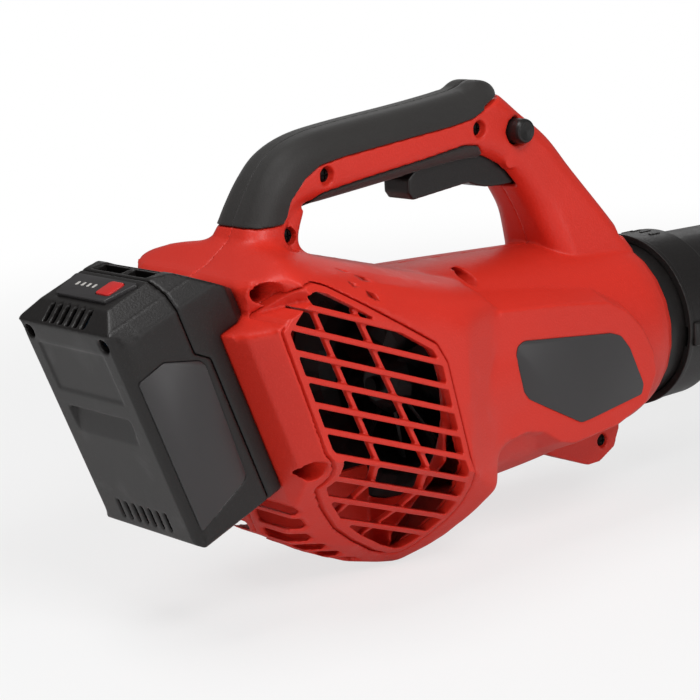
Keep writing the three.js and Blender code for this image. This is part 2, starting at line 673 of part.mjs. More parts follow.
// ---------------------------------------------------------------- grilles, louvres and vents
const grilleOpening = sidePrism(grown(GRILLE_OUTLINE, -GRILLE_RIM), -FAR, FAR);
function grilleBars() {
  const fall = Math.tan(rad(SLAT_SLOPE));
  const t = SLAT_THICK / 2 / Math.cos(rad(SLAT_SLOPE));
  const slats = Array.from({ length: SLATS }, (_, i) => {
    const height = (x) => SLAT_TOP - i * SLAT_PITCH - (x - SLAT_X) * fall;
    return sidePrism([
      [-130, height(-130) - t], [40, height(40) - t], [40, height(40) + t], [-130, height(-130) + t],
    ], -FAR, FAR);
  });
  const w = CROSS_BAR_THICK / 2;
  const crossBars = CROSS_BARS.map((points) => {
    const [before, end] = points.slice(-2);
    const line = [...points, [2 * end[0] - before[0], 2 * end[1] - before[1]]];
    return sidePrism([...line.map(([x, z]) => [x - w, z]), ...line.map(([x, z]) => [x + w, z]).reverse()],
      -FAR, FAR);
  });
  return joinAll([...slats, ...crossBars]);
}
const lattice = sidePrism(grown(GRILLE_OUTLINE, -GAP), -FAR, FAR).subtract(grilleOpening)
  .add(grilleBars().intersect(grilleOpening));
const grilleSkin = chamber(-0.6).subtract(chamber(GRILLE_THICK));
const grilleRight = grilleSkin.intersect(lattice).intersect(box(-FAR, FAR, -FAR, -PAD_ROOT, -FAR, FAR));
place('grille_right', grilleRight, RED);
place('grille_left', otherSide(grilleRight), RED);
const besideKeel = (distance) => everywhere.subtract(box(-FAR, FAR, -distance, distance, -FAR, FAR));
const grilleBack = GRILLE_THICK + GAP;
const grilleHole = sidePrism(GRILLE_OUTLINE, -FAR, FAR)
  .intersect(chamber(-2).subtract(chamber(grilleBack))).intersect(besideKeel(PAD_ROOT - GAP));
const grilleWindow = sidePrism(grown(GRILLE_OUTLINE, -GRILLE_RIM + 1), -FAR, FAR)
  .intersect(chamber(-2).subtract(chamber(grilleBack + GRILLE_SEAT + 1))).intersect(besideKeel(PAD_ROOT + 1));
const grilleSeat = sidePrism(grown(GRILLE_OUTLINE, WALL), -FAR, FAR)
  .intersect(chamber(0).subtract(chamber(grilleBack + GRILLE_SEAT))).intersect(besideKeel(PAD_ROOT + 1));

const louvreCuts = joinAll(LOUVRES.map(([x, z, height]) => {
  const upper = (at) => z - (at - x) * LOUVRE_FALL;
  const front = x + LOUVRE_SLANT;
  return sidePrism([
    [-FAR, upper(-FAR)], [x, z], [front, upper(front) - height], [-FAR, upper(-FAR) - height],
  ], -FAR, FAR);
})).intersect(besideKeel(LOUVRE_KEEL)).subtract(chamber(WALL + LOUVRE_DEPTH));
// a web along the keel, half of it on each shell
const keelWeb = box(-FAR, BULKHEAD_X + 1, -KEEL_WEB / 2, KEEL_WEB / 2, -FAR, KEEL_WEB_TOP).intersect(chamber(1));
const ventCuts = joinAll(DIAMOND_VENTS.map(([x, z, r]) => sidePrism([
  [x - r, z + r * 0.5], [x - 1, z + 1.6], [x + r, z - r * 0.5], [x + 1, z - 1.6],
], -FAR, FAR))).intersect(besideKeel(38));

// ---------------------------------------------------------------- air path
function flange(x, radius) {
  return [[x, radius], [x, radius + FLANGE_REACH], [x - RIB_THICK, radius + FLANGE_REACH], [x - RIB_THICK, radius]];
}

const shroudR = TUNNEL_R + TUNNEL_WALL;
const podBore = STATOR_R + GAP;
function fanShroud() {
  const mouth = BULKHEAD_X + RIB_THICK + GAP;
  const tunnel = turned([
    [mouth, BELL_R], [2, BELL_R - 4.5], [8, BELL_R - 10], [16, TUNNEL_R + 2], [26, TUNNEL_R],
    [SHROUD_END, TUNNEL_R], [SHROUD_END, shroudR], ...flange(SHROUD_RIB_X - GAP, shroudR), [26, shroudR],
    [14, BELL_R - 11], [6, BELL_R - 5.5], [mouth + 2, BELL_R], [mouth + 2, BELL_R + 2.5], [mouth, BELL_R + 2.5],
  ], ROUND);
  const bearingBack = POD_START + BEARING_WIDTH;
  const pod = turned([
    [POD_START, BEARING_R + GAP], [POD_START, POD_R], [POD_END, POD_R], [POD_END, podBore],
    [bearingBack, podBore], [bearingBack, BEARING_R + GAP],
  ], MOTOR_ROUND);
  const vanes = Array.from({ length: VANES }, (_, i) => {
    const turn = (2 * Math.PI * i) / VANES;
    const t = VANE_THICK / 2;
    return loft([POD_R - 1, (POD_R + TUNNEL_R) / 2, TUNNEL_R + 1].map((r) => [
      [VANE_START, -t], [VANE_START, t], [VANE_END, t - 6], [VANE_END, -t - 6],
    ].map(([x, side]) => [x, r * Math.cos(turn + side / r), r * Math.sin(turn + side / r)])));
  });
  return joinAll([tunnel, pod, ...vanes]);
}
place('fan_shroud', fanShroud(), BLACK);

// each blade is twisted: it lies flatter across the wind toward its tip
function fanBlade(turn) {
  const middle = (FAN_FRONT + 7 + FAN_BACK - 4) / 2;
  const reach = FAN_BACK - 4 - middle;
  const root = FAN_HUB_R - 0.8;
  const tip = TUNNEL_R - FAN_TIP_GAP;
  const rings = [0, 0.5, 1].map((share) => {
    const r = root + share * (tip - root);
    const lean = rad(38 + 24 * share);
    const chord = Math.min(reach / Math.cos(lean), 17);
    const t = (BLADE_THICK / 2) * (1 - 0.35 * share);
    const front = [-1, -0.33, 0.33, 1].map((c) => [c, t]);
    const back = [1, 0.33, -0.33, -1].map((c) => [c, -t]);
    return [...front, ...back].map(([c, side]) => {
      const x = middle + chord * c * Math.cos(lean) - side * Math.sin(lean);
      const across = chord * c * Math.sin(lean) + side * Math.cos(lean);
      return [x, r * Math.cos(turn + across / r), r * Math.sin(turn + across / r)];
    });
  });
  return loft(rings);
}
function fanRotor() {
  const bore = SHAFT_R + GAP;
  const hub = turned([
    [FAN_FRONT, bore], [FAN_FRONT, 9], [FAN_FRONT + 4, 14], [FAN_FRONT + 10, FAN_HUB_R], [FAN_BACK, FAN_HUB_R],
    [FAN_BACK, FAN_HUB_R - 2.5], [FAN_FRONT + 12, FAN_HUB_R - 2.5], [FAN_FRONT + 7, 11], [FAN_FRONT + 7, 6],
    [30, 6], [30, bore],
  ], MOTOR_ROUND);
  const blades = Array.from({ length: FAN_BLADES }, (_, i) => fanBlade((2 * Math.PI * i) / FAN_BLADES));
  return joinAll([hub, ...blades]);
}
place('fan_rotor', fanRotor(), BLACK);
place('fan_screw', turned([
  [FAN_FRONT - GAP - 3, 0], [FAN_FRONT - GAP - 3, 4.5], [FAN_FRONT - GAP, 4.5], [FAN_FRONT - GAP, SHAFT_R],
  [SHAFT_START - GAP, SHAFT_R], [SHAFT_START - GAP, 0],
], 16), STEEL);
place('motor_rotor', turned([
  [SHAFT_START, 0], [SHAFT_START, SHAFT_R], [STATOR_START + 2, SHAFT_R], [STATOR_START + 2, STATOR_BORE - AIR_GAP],
  [STATOR_END - 2, STATOR_BORE - AIR_GAP], [STATOR_END - 2, SHAFT_R], [SHAFT_END, SHAFT_R], [SHAFT_END, 0],
], MOTOR_ROUND), STEEL);
place('motor_stator', turned([
  [STATOR_START, STATOR_BORE], [STATOR_START, STATOR_R - 2], [STATOR_START + 5, STATOR_R - 2],
  [STATOR_START + 5, STATOR_R], [STATOR_END - 5, STATOR_R], [STATOR_END - 5, STATOR_R - 2],
  [STATOR_END, STATOR_R - 2], [STATOR_END, STATOR_BORE],
], MOTOR_ROUND), COPPER);
for (const [name, x] of [['bearing_front', POD_START], ['bearing_rear', END_CAP_X]]) {
  place(name, turned([
    [x, SHAFT_R + GAP], [x, BEARING_R], [x + BEARING_WIDTH, BEARING_R], [x + BEARING_WIDTH, SHAFT_R + GAP],
  ], MOTOR_ROUND), STEEL);
}
place('motor_end_cap', turned([
  [END_CAP_X, BEARING_R + GAP], [END_CAP_X, STATOR_R], [END_CAP_X + BEARING_WIDTH, STATOR_R],
  [END_CAP_X + BEARING_WIDTH, BEARING_R + GAP],
], MOTOR_ROUND), BLACK);
const spigot = END_CAP_X + BEARING_WIDTH + 1;
place('tail_cone', turned([
  [spigot, STATOR_R], [POD_END + GAP, STATOR_R], [POD_END + GAP, POD_R], [125, 15.5], [TAIL_END, 0],
  [TAIL_END - 5, 0], [124, 12.5], [POD_END, STATOR_R - 2.5], [spigot, STATOR_R - 2.5],
], MOTOR_ROUND), BLACK);

// a wedge about the X axis, between two angles in degrees
function wedge(from, to, x0, x1) {
  const points = [[0, 0]];
  for (let i = 0; i <= 4; i += 1) {
    const angle = rad(from + ((to - from) * i) / 4);
    points.push([FAR * Math.cos(angle), FAR * Math.sin(angle)]);
  }
  return frontPrism(points, x0, x1);
}
const lugAngles = Array.from({ length: BAYONET_LUGS }, (_, i) => 90 + (360 * i) / BAYONET_LUGS);

function outletDuct() {
  const socketR = shroudR + GAP;
  const socketEnd = SHROUD_END + GAP;
  const pipe = turned([
    [DUCT_START, socketR], [socketEnd, socketR], [socketEnd, TUNNEL_R], [DUCT_END, TUNNEL_R], [DUCT_END, DUCT_R],
    ...flange(DUCT_RIB_X - GAP, DUCT_R), [DUCT_START, socketR + DUCT_WALL],
  ], ROUND);
  const lugRing = turned([
    [BAYONET_X, DUCT_R - 1], [BAYONET_X + BAYONET_WIDTH, DUCT_R - 1],
    [BAYONET_X + BAYONET_WIDTH, DUCT_R + BAYONET_HEIGHT], [BAYONET_X, DUCT_R + BAYONET_HEIGHT],
  ], ROUND);
  const lugs = joinAll(lugAngles.map((angle) => wedge(angle - BAYONET_HALF, angle + BAYONET_HALF, 0, FAR)));
  return pipe.add(lugRing.intersect(lugs));
}
place('outlet_duct', outletDuct(), BLACK);

function blowTube() {
  const bore = DUCT_R + GAP;
  const outer = bore + COLLAR_WALL;
  const stop = DUCT_END + 2;
  const pipe = turned([
    [COLLAR_START, bore], [stop, bore], [stop, TUNNEL_R], [TUBE_END, TUBE_END_R - TUBE_WALL], [TUBE_END, TUBE_END_R],
    [TUBE_SHOULDER, TUNNEL_R + TUBE_WALL], [COLLAR_END, outer], [COLLAR_START + 4.5, outer],
    [COLLAR_START + 3.5, outer + COLLAR_BEAD], [COLLAR_START, outer + COLLAR_BEAD],
  ], ROUND);
  const [x0, x1, z0, z1] = TWIST_BLOCK;
  const grooveR = DUCT_R + BAYONET_HEIGHT + GAP;
  const blocks = SIDES.map((side) => {
    const ends = [sign[side] * grooveR, sign[side] * TWIST_BLOCK_REACH].sort((a, b) => a - b);
    return box(x0, x1, ...ends, z0, z1);
  });
  const slack = BAYONET_HALF + 1;
  const grooveRing = (from, to) => turned([[from, bore - 1], [to, bore - 1], [to, grooveR], [from, grooveR]], ROUND);
  const run = grooveRing(BAYONET_X - GAP, BAYONET_X + BAYONET_WIDTH + GAP).intersect(joinAll(lugAngles.map(
    (angle) => wedge(angle - BAYONET_TWIST - slack, angle + slack, 0, FAR),
  )));
  const entry = grooveRing(COLLAR_START - 1, BAYONET_X + 1).intersect(joinAll(lugAngles.map(
    (angle) => wedge(angle - BAYONET_TWIST - slack, angle - BAYONET_TWIST + slack, 0, FAR),
  )));
  return joinAll([pipe, ...blocks]).subtract(run).subtract(entry);
}
place('blow_tube', blowTube(), BLACK);

// ---------------------------------------------------------------- battery receiver
const receiverBox = (depth0, depth1, halfWidth, bottom, top) => box(
  depth0, depth1, -halfWidth, halfWidth, bottom, top,
);
const receiverTop = FOOT_TOP - WALL - GAP;
const wallInside = FOOT_BACK + WALL;
const [contactX0, contactX1, contactZ0, contactZ1] = CONTACT;
function receiver() {
  const neck = RAIL_NECK_HALF + RAIL_CLEAR;
  const head = RAIL_HEAD_HALF + RAIL_CLEAR;
  const channelBottom = RAIL_BOTTOM - RAIL_CLEAR;
  const slots = joinAll([-BLADE_Y, BLADE_Y].map((y) => {
    const t = CONTACT_THICK / 2 + GAP;
    return box(RAIL_FRONT, FAR, y - t, y + t, contactZ0 - GAP, contactZ1 + GAP);
  }));
  return receiverBox(FOOT_BACK, RECEIVER_FRONT, RECEIVER_HALF, RECEIVER_BOTTOM, receiverTop)
    .add(receiverBox(wallInside + GAP, wallInside + GAP + RECEIVER_FLANGE, RECEIVER_HALF + RECEIVER_FLANGE,
      RECEIVER_BOTTOM, receiverTop))
    .subtract(receiverBox(-FAR, RAIL_STEP, neck, channelBottom, FAR))
    .subtract(receiverBox(RAIL_STEP - GAP, RAIL_FRONT + GAP, head, channelBottom, FAR))
    .subtract(slots);
}
place('battery_receiver', receiver(), BLACK, pack);
for (const side of SIDES) {
  const y = sign[side] * BLADE_Y;
  const t = CONTACT_THICK / 2;
  place(`contact_blade_${side}`, box(contactX0, contactX1, y - t, y + t, contactZ0, contactZ1), COPPER, pack);
}
// the hole in the foot's wall that the receiver looks through, and the way in for the rails
const receiverRoom = box(-FAR, RECEIVER_FRONT + GAP, -RECEIVER_HALF - GAP, RECEIVER_HALF + GAP,
  RECEIVER_BOTTOM - GAP, FOOT_TOP - WALL, leaning);
const railMouth = RAIL_HEAD_HALF + 1;
const receiverMouth = box(-FAR, RECEIVER_FRONT + GAP, -railMouth, railMouth, 80, FAR, leaning);

// ---------------------------------------------------------------- controller
const trayFloor = TRAY_BACK + TRAY_WALL;
const boardX = trayFloor + BOARD_LIFT + GAP;
function controllerTray() {
  const shell = box(TRAY_BACK, TRAY_BACK + TRAY_DEPTH, -TRAY_HALF, TRAY_HALF, TRAY_BOTTOM, TRAY_TOP)
    .subtract(box(trayFloor, FAR, -TRAY_HALF + TRAY_WALL, TRAY_HALF - TRAY_WALL, TRAY_BOTTOM + TRAY_WALL,
      TRAY_TOP - TRAY_WALL));
  const posts = [-1, 1].flatMap((s) => [TRAY_BOTTOM + 3, TRAY_TOP - 9].flatMap((z) => {
    const y = s * (TRAY_HALF - 6);
    return [
      box(RECEIVER_FRONT + GAP, TRAY_BACK + 1, y - 3, y + 3, z, z + 6),
      box(trayFloor - 1, trayFloor + BOARD_LIFT, y - 3, y + 3, z, z + 6),
    ];
  }));
  const t = CONTACT_THICK / 2 + GAP;
  const slots = joinAll([-BLADE_Y, BLADE_Y].map((y) => box(TRAY_BACK - 1, FAR, y - t, y + t, contactZ0, contactZ1)));
  return joinAll([shell, ...posts]).subtract(slots);
}
place('controller_tray', controllerTray(), BLACK, pack);
function controllerBoard() {
  const inset = TRAY_WALL + GAP;
  const z1 = TRAY_TOP - inset;
  const plate = box(boardX, boardX + BOARD_THICK, -TRAY_HALF + inset, TRAY_HALF - inset, TRAY_BOTTOM + inset, z1);
  const cans = [-16, 0, 16].map((y) => turned([
    [boardX + 1, 0], [boardX + 1, 5], [boardX + 13, 5], [boardX + 13, 0],
  ], 12, [y, z1 - 7]));
  return joinAll([plate, ...cans]);
}
place('controller_board', controllerBoard(), BOARD, pack);
function heatSink() {
  const x = boardX + BOARD_THICK + GAP;
  const [halfWidth, z0, z1] = [24, TRAY_BOTTOM + 5, TRAY_TOP - 18];
  const base = box(x, x + 2, -halfWidth, halfWidth, z0, z1);
  const pitch = (2 * halfWidth - FIN_THICK) / (FINS - 1);
  const fins = Array.from({ length: FINS }, (_, i) => {
    const y = -halfWidth + i * pitch;
    return box(x + 1, x + 2 + FIN_DEPTH, y, y + FIN_THICK, z0, z1);
  });
  return joinAll([base, ...fins]);
}
place('heat_sink', heatSink(), STEEL, pack);

// ---------------------------------------------------------------- battery cases
const LIP_FRONT = HOOD_BACK - LIP_CLEAR;
const LIP_BOTTOM = FOOT_TOP + LIP_CLEAR;
function packForm(inset) {
  const side = grown([
    [PACK_BACK, PACK_BOTTOM + 3], [PACK_BACK + 3, PACK_BOTTOM], [PACK_FRONT, PACK_BOTTOM], [PACK_FRONT, LIP_BOTTOM],
    [LIP_FRONT, LIP_BOTTOM], [LIP_FRONT, PACK_LIP_TOP], [-103, PACK_TOP - 2], [-112, PACK_TOP],
    [-141, PACK_TOP - 0.5], [PACK_BACK, PACK_BACK_TOP],
  ], -inset);
  const plan = grown(mirrored([
    [0, PACK_BACK], [PACK_HALF - 4, PACK_BACK], [PACK_HALF, PACK_BACK + 3], [PACK_HALF, LIP_FRONT - 6],
    [PACK_HALF - 4, LIP_FRONT], [0, LIP_FRONT],
  ]).map(([y, x]) => [x, y]), -inset);
  const section = grown(mirrored([
    [0, PACK_BOTTOM], [PACK_HALF - 2, PACK_BOTTOM], [PACK_HALF, PACK_BOTTOM + 2], [PACK_HALF, PACK_TOP - 14],
    [PACK_HALF - 4, PACK_TOP - 6], [PACK_HALF - 14, PACK_TOP], [0, PACK_TOP],
  ]), -inset);
  return sidePrism(side, -FAR, FAR).intersect(planPrism(plan, -FAR, FAR)).intersect(frontPrism(section, -FAR, FAR));
}
const packOuter = packForm(0);
const packInner = packForm(PACK_WALL);
const packShell = packOuter.subtract(packInner);
const behindSeam = (shift) => sidePrism([
  [-FAR, -FAR], [PACK_SEAM_LOW + shift, -FAR], [PACK_SEAM_LOW + shift, 90], [PACK_SEAM + shift, 97],
  [PACK_SEAM + shift, FAR], [-FAR, FAR],
], -FAR, FAR);
const PACK_SCREWS = [1, -1].map((s) => [s * (PACK_HALF - PACK_SCREW_IN), PACK_SCREW_Z]);
const PACK_BOSS_R = 4;
const packScrewHoles = joinAll(PACK_SCREWS.map(([y, z]) => join(
  turned([[-FAR, 0], [-FAR, 3.6], [PACK_SCREW_HEAD_X, 3.6], [PACK_SCREW_HEAD_X, 0]], 12, [y, z]),
  turned([[-FAR, 0], [-FAR, SCREW_SHANK_R + GAP], [PACK_SCREW_TIP_X + 0.6, SCREW_SHANK_R + GAP],
    [PACK_SCREW_TIP_X + 0.6, 0]], 8, [y, z]),
)));
// bosses for the two screws, tied to the side walls
const packBosses = joinAll(PACK_SCREWS.map(([y, z]) => {
  const tie = [y, Math.sign(y) * PACK_HALF].sort((a, b) => a - b);
  return turned([[PACK_BACK, 0], [PACK_BACK, PACK_BOSS_R], [PACK_SCREW_TIP_X + 2, PACK_BOSS_R],
    [PACK_SCREW_TIP_X + 2, 0]], 12, [y, z]).add(box(PACK_BACK, PACK_SCREW_TIP_X + 2, ...tie, z - 1, z + 1));
})).intersect(packOuter);

const gaugeBed = planPrism(grown(GAUGE_OUTLINE, GAP), GAUGE_FLOOR, FAR);
const [gaugeX, gaugeY, gaugeR] = GAUGE_BUTTON;
const barZ = (x, y, radius, z0, z1, sides = 16) => {
  const geometry = new THREE.CylinderGeometry(radius, radius, z1 - z0, sides);
  geometry.rotateX(Math.PI / 2);
  geometry.translate(x, y, (z0 + z1) / 2);
  return solid(geometry);
};
const gaugeHole = barZ(gaugeX, gaugeY, gaugeR + GAP, 120, FAR);
const sideBeds = SIDES.map((side) => {
  const ends = [sign[side] * (PACK_HALF - SIDE_PANEL_THICK - GAP), sign[side] * FAR].sort((a, b) => a - b);
  return sidePrism(SIDE_PANEL_OUTLINE, ...ends);
});
function caseRear() {
  const vents = ([count, pitch, width], x0, x1, z0, z1) => Array.from({ length: count }, (_, i) => {
    const y = (i - (count - 1) / 2) * pitch;
    return box(x0, x1, y - width / 2, y + width / 2, z0, z1);
  });
  const backVents = vents(BACK_VENTS, -FAR, PACK_BACK + 4, PACK_BOTTOM + 7, PACK_BOTTOM + 18);
  const topVents = vents(TOP_VENTS, PACK_BACK + 1.5, PACK_BACK + 11, PACK_BACK_TOP - 2.5, FAR);
  const labelRecess = box(-FAR, PACK_BACK + 0.7, -27, 27, 90, 117);
  const fingerWall = box(PACK_BACK + 1, PACK_BACK + 5.2, -28, 28, 62, 84);
  const fingerRecess = sidePrism([[-FAR, 80], [PACK_BACK + 3, 80], [PACK_BACK, 66], [-FAR, 66]], -25, 25);
  return packShell.add(packBosses).add(fingerWall).intersect(behindSeam(0))
    .subtract(joinAll([...backVents, ...topVents, ...sideBeds, labelRecess, fingerRecess]))
    .subtract(gaugeBed).subtract(gaugeHole).subtract(packScrewHoles);
}
place('battery_case_rear', caseRear(), BLACK, pack);

const boardFront = PACK_BOARD_X + BOARD_THICK;
const frontWall = PACK_FRONT - PACK_WALL;
const windowHalf = CONTACT_CLEAR + 0.6;
const leafTop = 50;
function caseFront() {
  const [wellBack, wellFront, wellHalf, wellFloor] = LATCH_WELL;
  const tub = box(wellBack - 2, wellFront + 2, -wellHalf - 2, wellHalf + 2, wellFloor - 2, FAR).intersect(packOuter);
  const well = box(wellBack, wellFront, -wellHalf, wellHalf, wellFloor, FAR);
  const rails = join(
    box(PACK_FRONT - 1, RAIL_STEP + 0.1, -RAIL_NECK_HALF, RAIL_NECK_HALF, RAIL_BOTTOM, RAIL_TOP),
    box(RAIL_STEP, RAIL_FRONT, -RAIL_HEAD_HALF, RAIL_HEAD_HALF, RAIL_BOTTOM, RAIL_TOP),
  );
  const slots = [-BLADE_Y, BLADE_Y].flatMap((y) => [
    box(contactX0 - 0.5, FAR, y - CONTACT_CLEAR, y + CONTACT_CLEAR, -FAR, contactZ1 + 3),
    box(frontWall - 1, contactX1, y - windowHalf, y + windowHalf, contactZ0 + 3, leafTop + 1),
  ]);
  const posts = [-26, 26].flatMap((y) => [PACK_BOTTOM + 8, 98].map((z) => box(boardFront + GAP, frontWall + 1,
    y - 3, y + 3, z, z + 6)));
  return packShell.add(packBosses).subtract(behindSeam(GAP)).add(tub.subtract(behindSeam(GAP))).add(rails)
    .add(joinAll(posts)).subtract(well).subtract(joinAll(slots)).subtract(packScrewHoles);
}
place('battery_case_front', caseFront(), BLACK, pack);

PACK_SCREWS.forEach(([y, z], i) => place(`battery_screw_${i + 1}`, turned([
  [PACK_SCREW_HEAD_X - 2.6, 0], [PACK_SCREW_HEAD_X - 2.6, 3.2], [PACK_SCREW_HEAD_X - GAP, 3.2],
  [PACK_SCREW_HEAD_X - GAP, SCREW_SHANK_R], [PACK_SCREW_TIP_X, SCREW_SHANK_R], [PACK_SCREW_TIP_X, 0],
], 8, [y, z]), STEEL, pack));

// ---------------------------------------------------------------- inside the battery
function cellPack() {
  const cells = CELL_COLUMNS.flatMap((x) => Array.from({ length: CELL_ROWS }, (_, i) => barY(
    x, CELL_FIRST + i * CELL_PITCH, CELL_R, -CELL_LENGTH / 2, CELL_LENGTH / 2, 8,
  )));
  const reach = CELL_R + 0.8;
  const zTop = CELL_FIRST + (CELL_ROWS - 1) * CELL_PITCH + reach;
  const holders = [-1, 1].map((s) => {
    const ends = [s * (CELL_LENGTH / 2 - 8), s * (CELL_LENGTH / 2 - 4)].sort((a, b) => a - b);
    return box(CELL_COLUMNS[0] - reach, CELL_COLUMNS[1] + reach, ...ends, CELL_FIRST - reach, zTop);
  });
  return joinAll([...cells, ...holders]);
}
place('cell_pack', cellPack(), CELL, pack);
place('battery_board', box(PACK_BOARD_X, boardFront, -CELL_LENGTH / 2, CELL_LENGTH / 2, PACK_BOTTOM + 6, 108),
  BOARD, pack);
function terminals() {
  const base = box(boardFront + GAP, frontWall - GAP, -BLADE_Y - 6, BLADE_Y + 6, contactZ0 + 4, contactZ1 + 8);
  const leaves = [-BLADE_Y, BLADE_Y].flatMap((y) => [-1, 1].map((s) => {
    const ends = [y + s * (CONTACT_THICK / 2 + GAP), y + s * (windowHalf - 2 * GAP + 0.1)].sort((a, b) => a - b);
    return box(frontWall - 1, contactX0 + 4, ...ends, contactZ0 + 4, leafTop);
  }));
  return joinAll([base, ...leaves]);
}
place('battery_terminals', terminals(), COPPER, pack);
for (const side of SIDES) {
  const outline = grown(SIDE_PANEL_OUTLINE, -GAP);
  const ends = [sign[side] * (PACK_HALF - SIDE_PANEL_THICK), sign[side] * PACK_HALF].sort((a, b) => a - b);
  place(`battery_panel_${side}`, sidePrism(outline, ...ends), PLATE, pack);
}
const gaugeTop = GAUGE_FLOOR + GAP + GAUGE_THICK;
place('gauge_panel', planPrism(GAUGE_OUTLINE, GAUGE_FLOOR + GAP, gaugeTop).subtract(gaugeHole), PLATE, pack);
const caseCeiling = PACK_TOP - 0.5 - PACK_WALL;
place('gauge_button', barZ(gaugeX, gaugeY, gaugeR, caseCeiling - 2, gaugeTop + GAUGE_BUTTON_PROUD)
  .add(barZ(gaugeX, gaugeY, gaugeR + 1.4, caseCeiling - 2, caseCeiling - 2 * GAP)), BUTTON_RED, pack);
function latchButton() {
  const [wellBack, wellFront, wellHalf] = LATCH_WELL;
  const bar = box(LATCH_BACK, wellFront - GAP, -wellHalf + GAP, wellHalf - GAP, LATCH_BOTTOM, FAR);
  const tab = box(wellBack + GAP, LATCH_BACK + 1, -1.4, 1.4, LATCH_BOTTOM + 4, FAR);
  return bar.add(tab).intersect(packForm(1));
}
place('latch_button', latchButton(), BLACK, pack);
const latchSpringStart = LATCH_WELL[3] + GAP + WIRE;
place('latch_spring', spring((LATCH_BACK + LATCH_WELL[1]) / 2, 0, latchSpringStart, 1.6, WIRE * 0.8,
  LATCH_BOTTOM - GAP - WIRE - latchSpringStart, 4, 'z'), STEEL, pack);

// ---------------------------------------------------------------- label plates
const labelBeds = joinAll(SIDES.map((side) => {
  const ends = [sign[side] * (PAD_HALF - LABEL_THICK), sign[side] * FAR].sort((a, b) => a - b);
  return sidePrism(LABEL_OUTLINE, ...ends);
}));
for (const side of SIDES) {
  const ends = [sign[side] * (PAD_HALF - LABEL_THICK + GAP / 2), sign[side] * (PAD_HALF + 0.1)];
  place(`label_plate_${side}`, sidePrism(grown(LABEL_OUTLINE, -GAP), ...ends.sort((a, b) => a - b)), PLATE);
}

// ---------------------------------------------------------------- housing shells
function ringRib(x, radius) {
  return turned([[x, radius], [x + RIB_THICK, radius], [x + RIB_THICK, 130], [x, 130]], ROUND).intersect(bodyOuter);
}
const ribs = join(
  ringRib(BULKHEAD_X, BELL_R),
  ringRib(SHROUD_RIB_X, shroudR + GAP),
  ringRib(DUCT_RIB_X, DUCT_R + GAP),
  ringRib(MOUTH_RIB_X, DUCT_R + GAP),
);
const mouthBore = turned([[165, 0], [165, DUCT_R + GAP], [FAR, DUCT_R + GAP], [FAR, 0]], ROUND);
const [scoopX, scoopZ, scoopR] = SCREWS[7];
const screwScoop = barY(scoopX, scoopZ + 4, scoopR + 1, -FAR, -SCREW_HEAD_Y - 12, SCREW_SIDES);
const pinBosses = barY(pivotX, pivotZ, TRIGGER_PIN_R + 2.5, -HANDLE_HALF + 1, HANDLE_HALF - 1)
  .subtract(box(-FAR, FAR, -slotHalf, slotHalf, -FAR, FAR));
const pinBore = barY(pivotX, pivotZ, TRIGGER_PIN_R + GAP, -pinHalf - GAP, pinHalf + GAP);
const walls = fullForm.subtract(bodyInner).subtract(handleCavity);
const shellForm = joinAll([walls, ribs, grilleSeat, bosses, switchRibs, keelWeb])
  .subtract(gripRecess).subtract(triggerSlot).add(pinBosses).subtract(pinBore).subtract(buttonHoles)
  .subtract(grilleHole).subtract(grilleWindow).subtract(louvreCuts).subtract(ventCuts)
  .subtract(receiverRoom).subtract(receiverMouth).subtract(mouthBore).subtract(labelBeds)
  .subtract(screwScoop).subtract(screwHoles);
for (const side of SIDES) {
  place(`housing_${side}`, largest(shellForm.intersect(box(-FAR, FAR, ...half[side], -FAR, FAR))), RED);
}

// the origin lies under the middle of the whole machine
group.updateMatrixWorld(true);
const whole = new THREE.Box3().setFromObject(group, true);
group.position.set(-(whole.min.x + whole.max.x) / 2, -(whole.min.y + whole.max.y) / 2, -whole.min.z);

export default group;
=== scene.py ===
"""Looks for a hand-held cordless leaf blower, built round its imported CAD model.

Sizes called mm are millimetres from the middle of the fan's bell mouth: X forward along the
nozzle, Y to the left, Z up. Blender's own coordinates are metres in the CAD model's frame.
"""

import math

import bmesh
import bpy
import numpy as np
from bpy.props import FloatProperty, FloatVectorProperty, IntProperty, PointerProperty
from bpy.types import Operator, Panel, PropertyGroup
from mathutils import Matrix, Vector
from mathutils.bvhtree import BVHTree


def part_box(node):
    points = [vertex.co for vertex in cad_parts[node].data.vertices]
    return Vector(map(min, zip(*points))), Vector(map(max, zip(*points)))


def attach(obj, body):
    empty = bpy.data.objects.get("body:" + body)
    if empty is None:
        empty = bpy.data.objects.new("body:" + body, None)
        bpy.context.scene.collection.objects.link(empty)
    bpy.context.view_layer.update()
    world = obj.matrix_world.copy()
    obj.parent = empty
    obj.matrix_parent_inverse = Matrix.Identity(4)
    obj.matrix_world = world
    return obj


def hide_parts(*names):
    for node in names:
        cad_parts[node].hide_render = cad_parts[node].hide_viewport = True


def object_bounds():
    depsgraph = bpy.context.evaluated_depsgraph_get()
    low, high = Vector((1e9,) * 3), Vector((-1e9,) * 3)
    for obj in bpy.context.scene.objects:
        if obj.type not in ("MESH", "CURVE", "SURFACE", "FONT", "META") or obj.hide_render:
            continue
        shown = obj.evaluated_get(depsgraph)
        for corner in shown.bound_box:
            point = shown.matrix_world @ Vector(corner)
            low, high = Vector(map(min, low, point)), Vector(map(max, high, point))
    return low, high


bl_info = {
    "name": "Cordless leaf blower",
    "version": (1, 0, 0),
    "blender": (4, 5, 0),
    "location": "3D View > Sidebar > Blower",
    "description": "Dresses the CAD frame of a hand-held cordless leaf blower",
    "category": "Object",
}

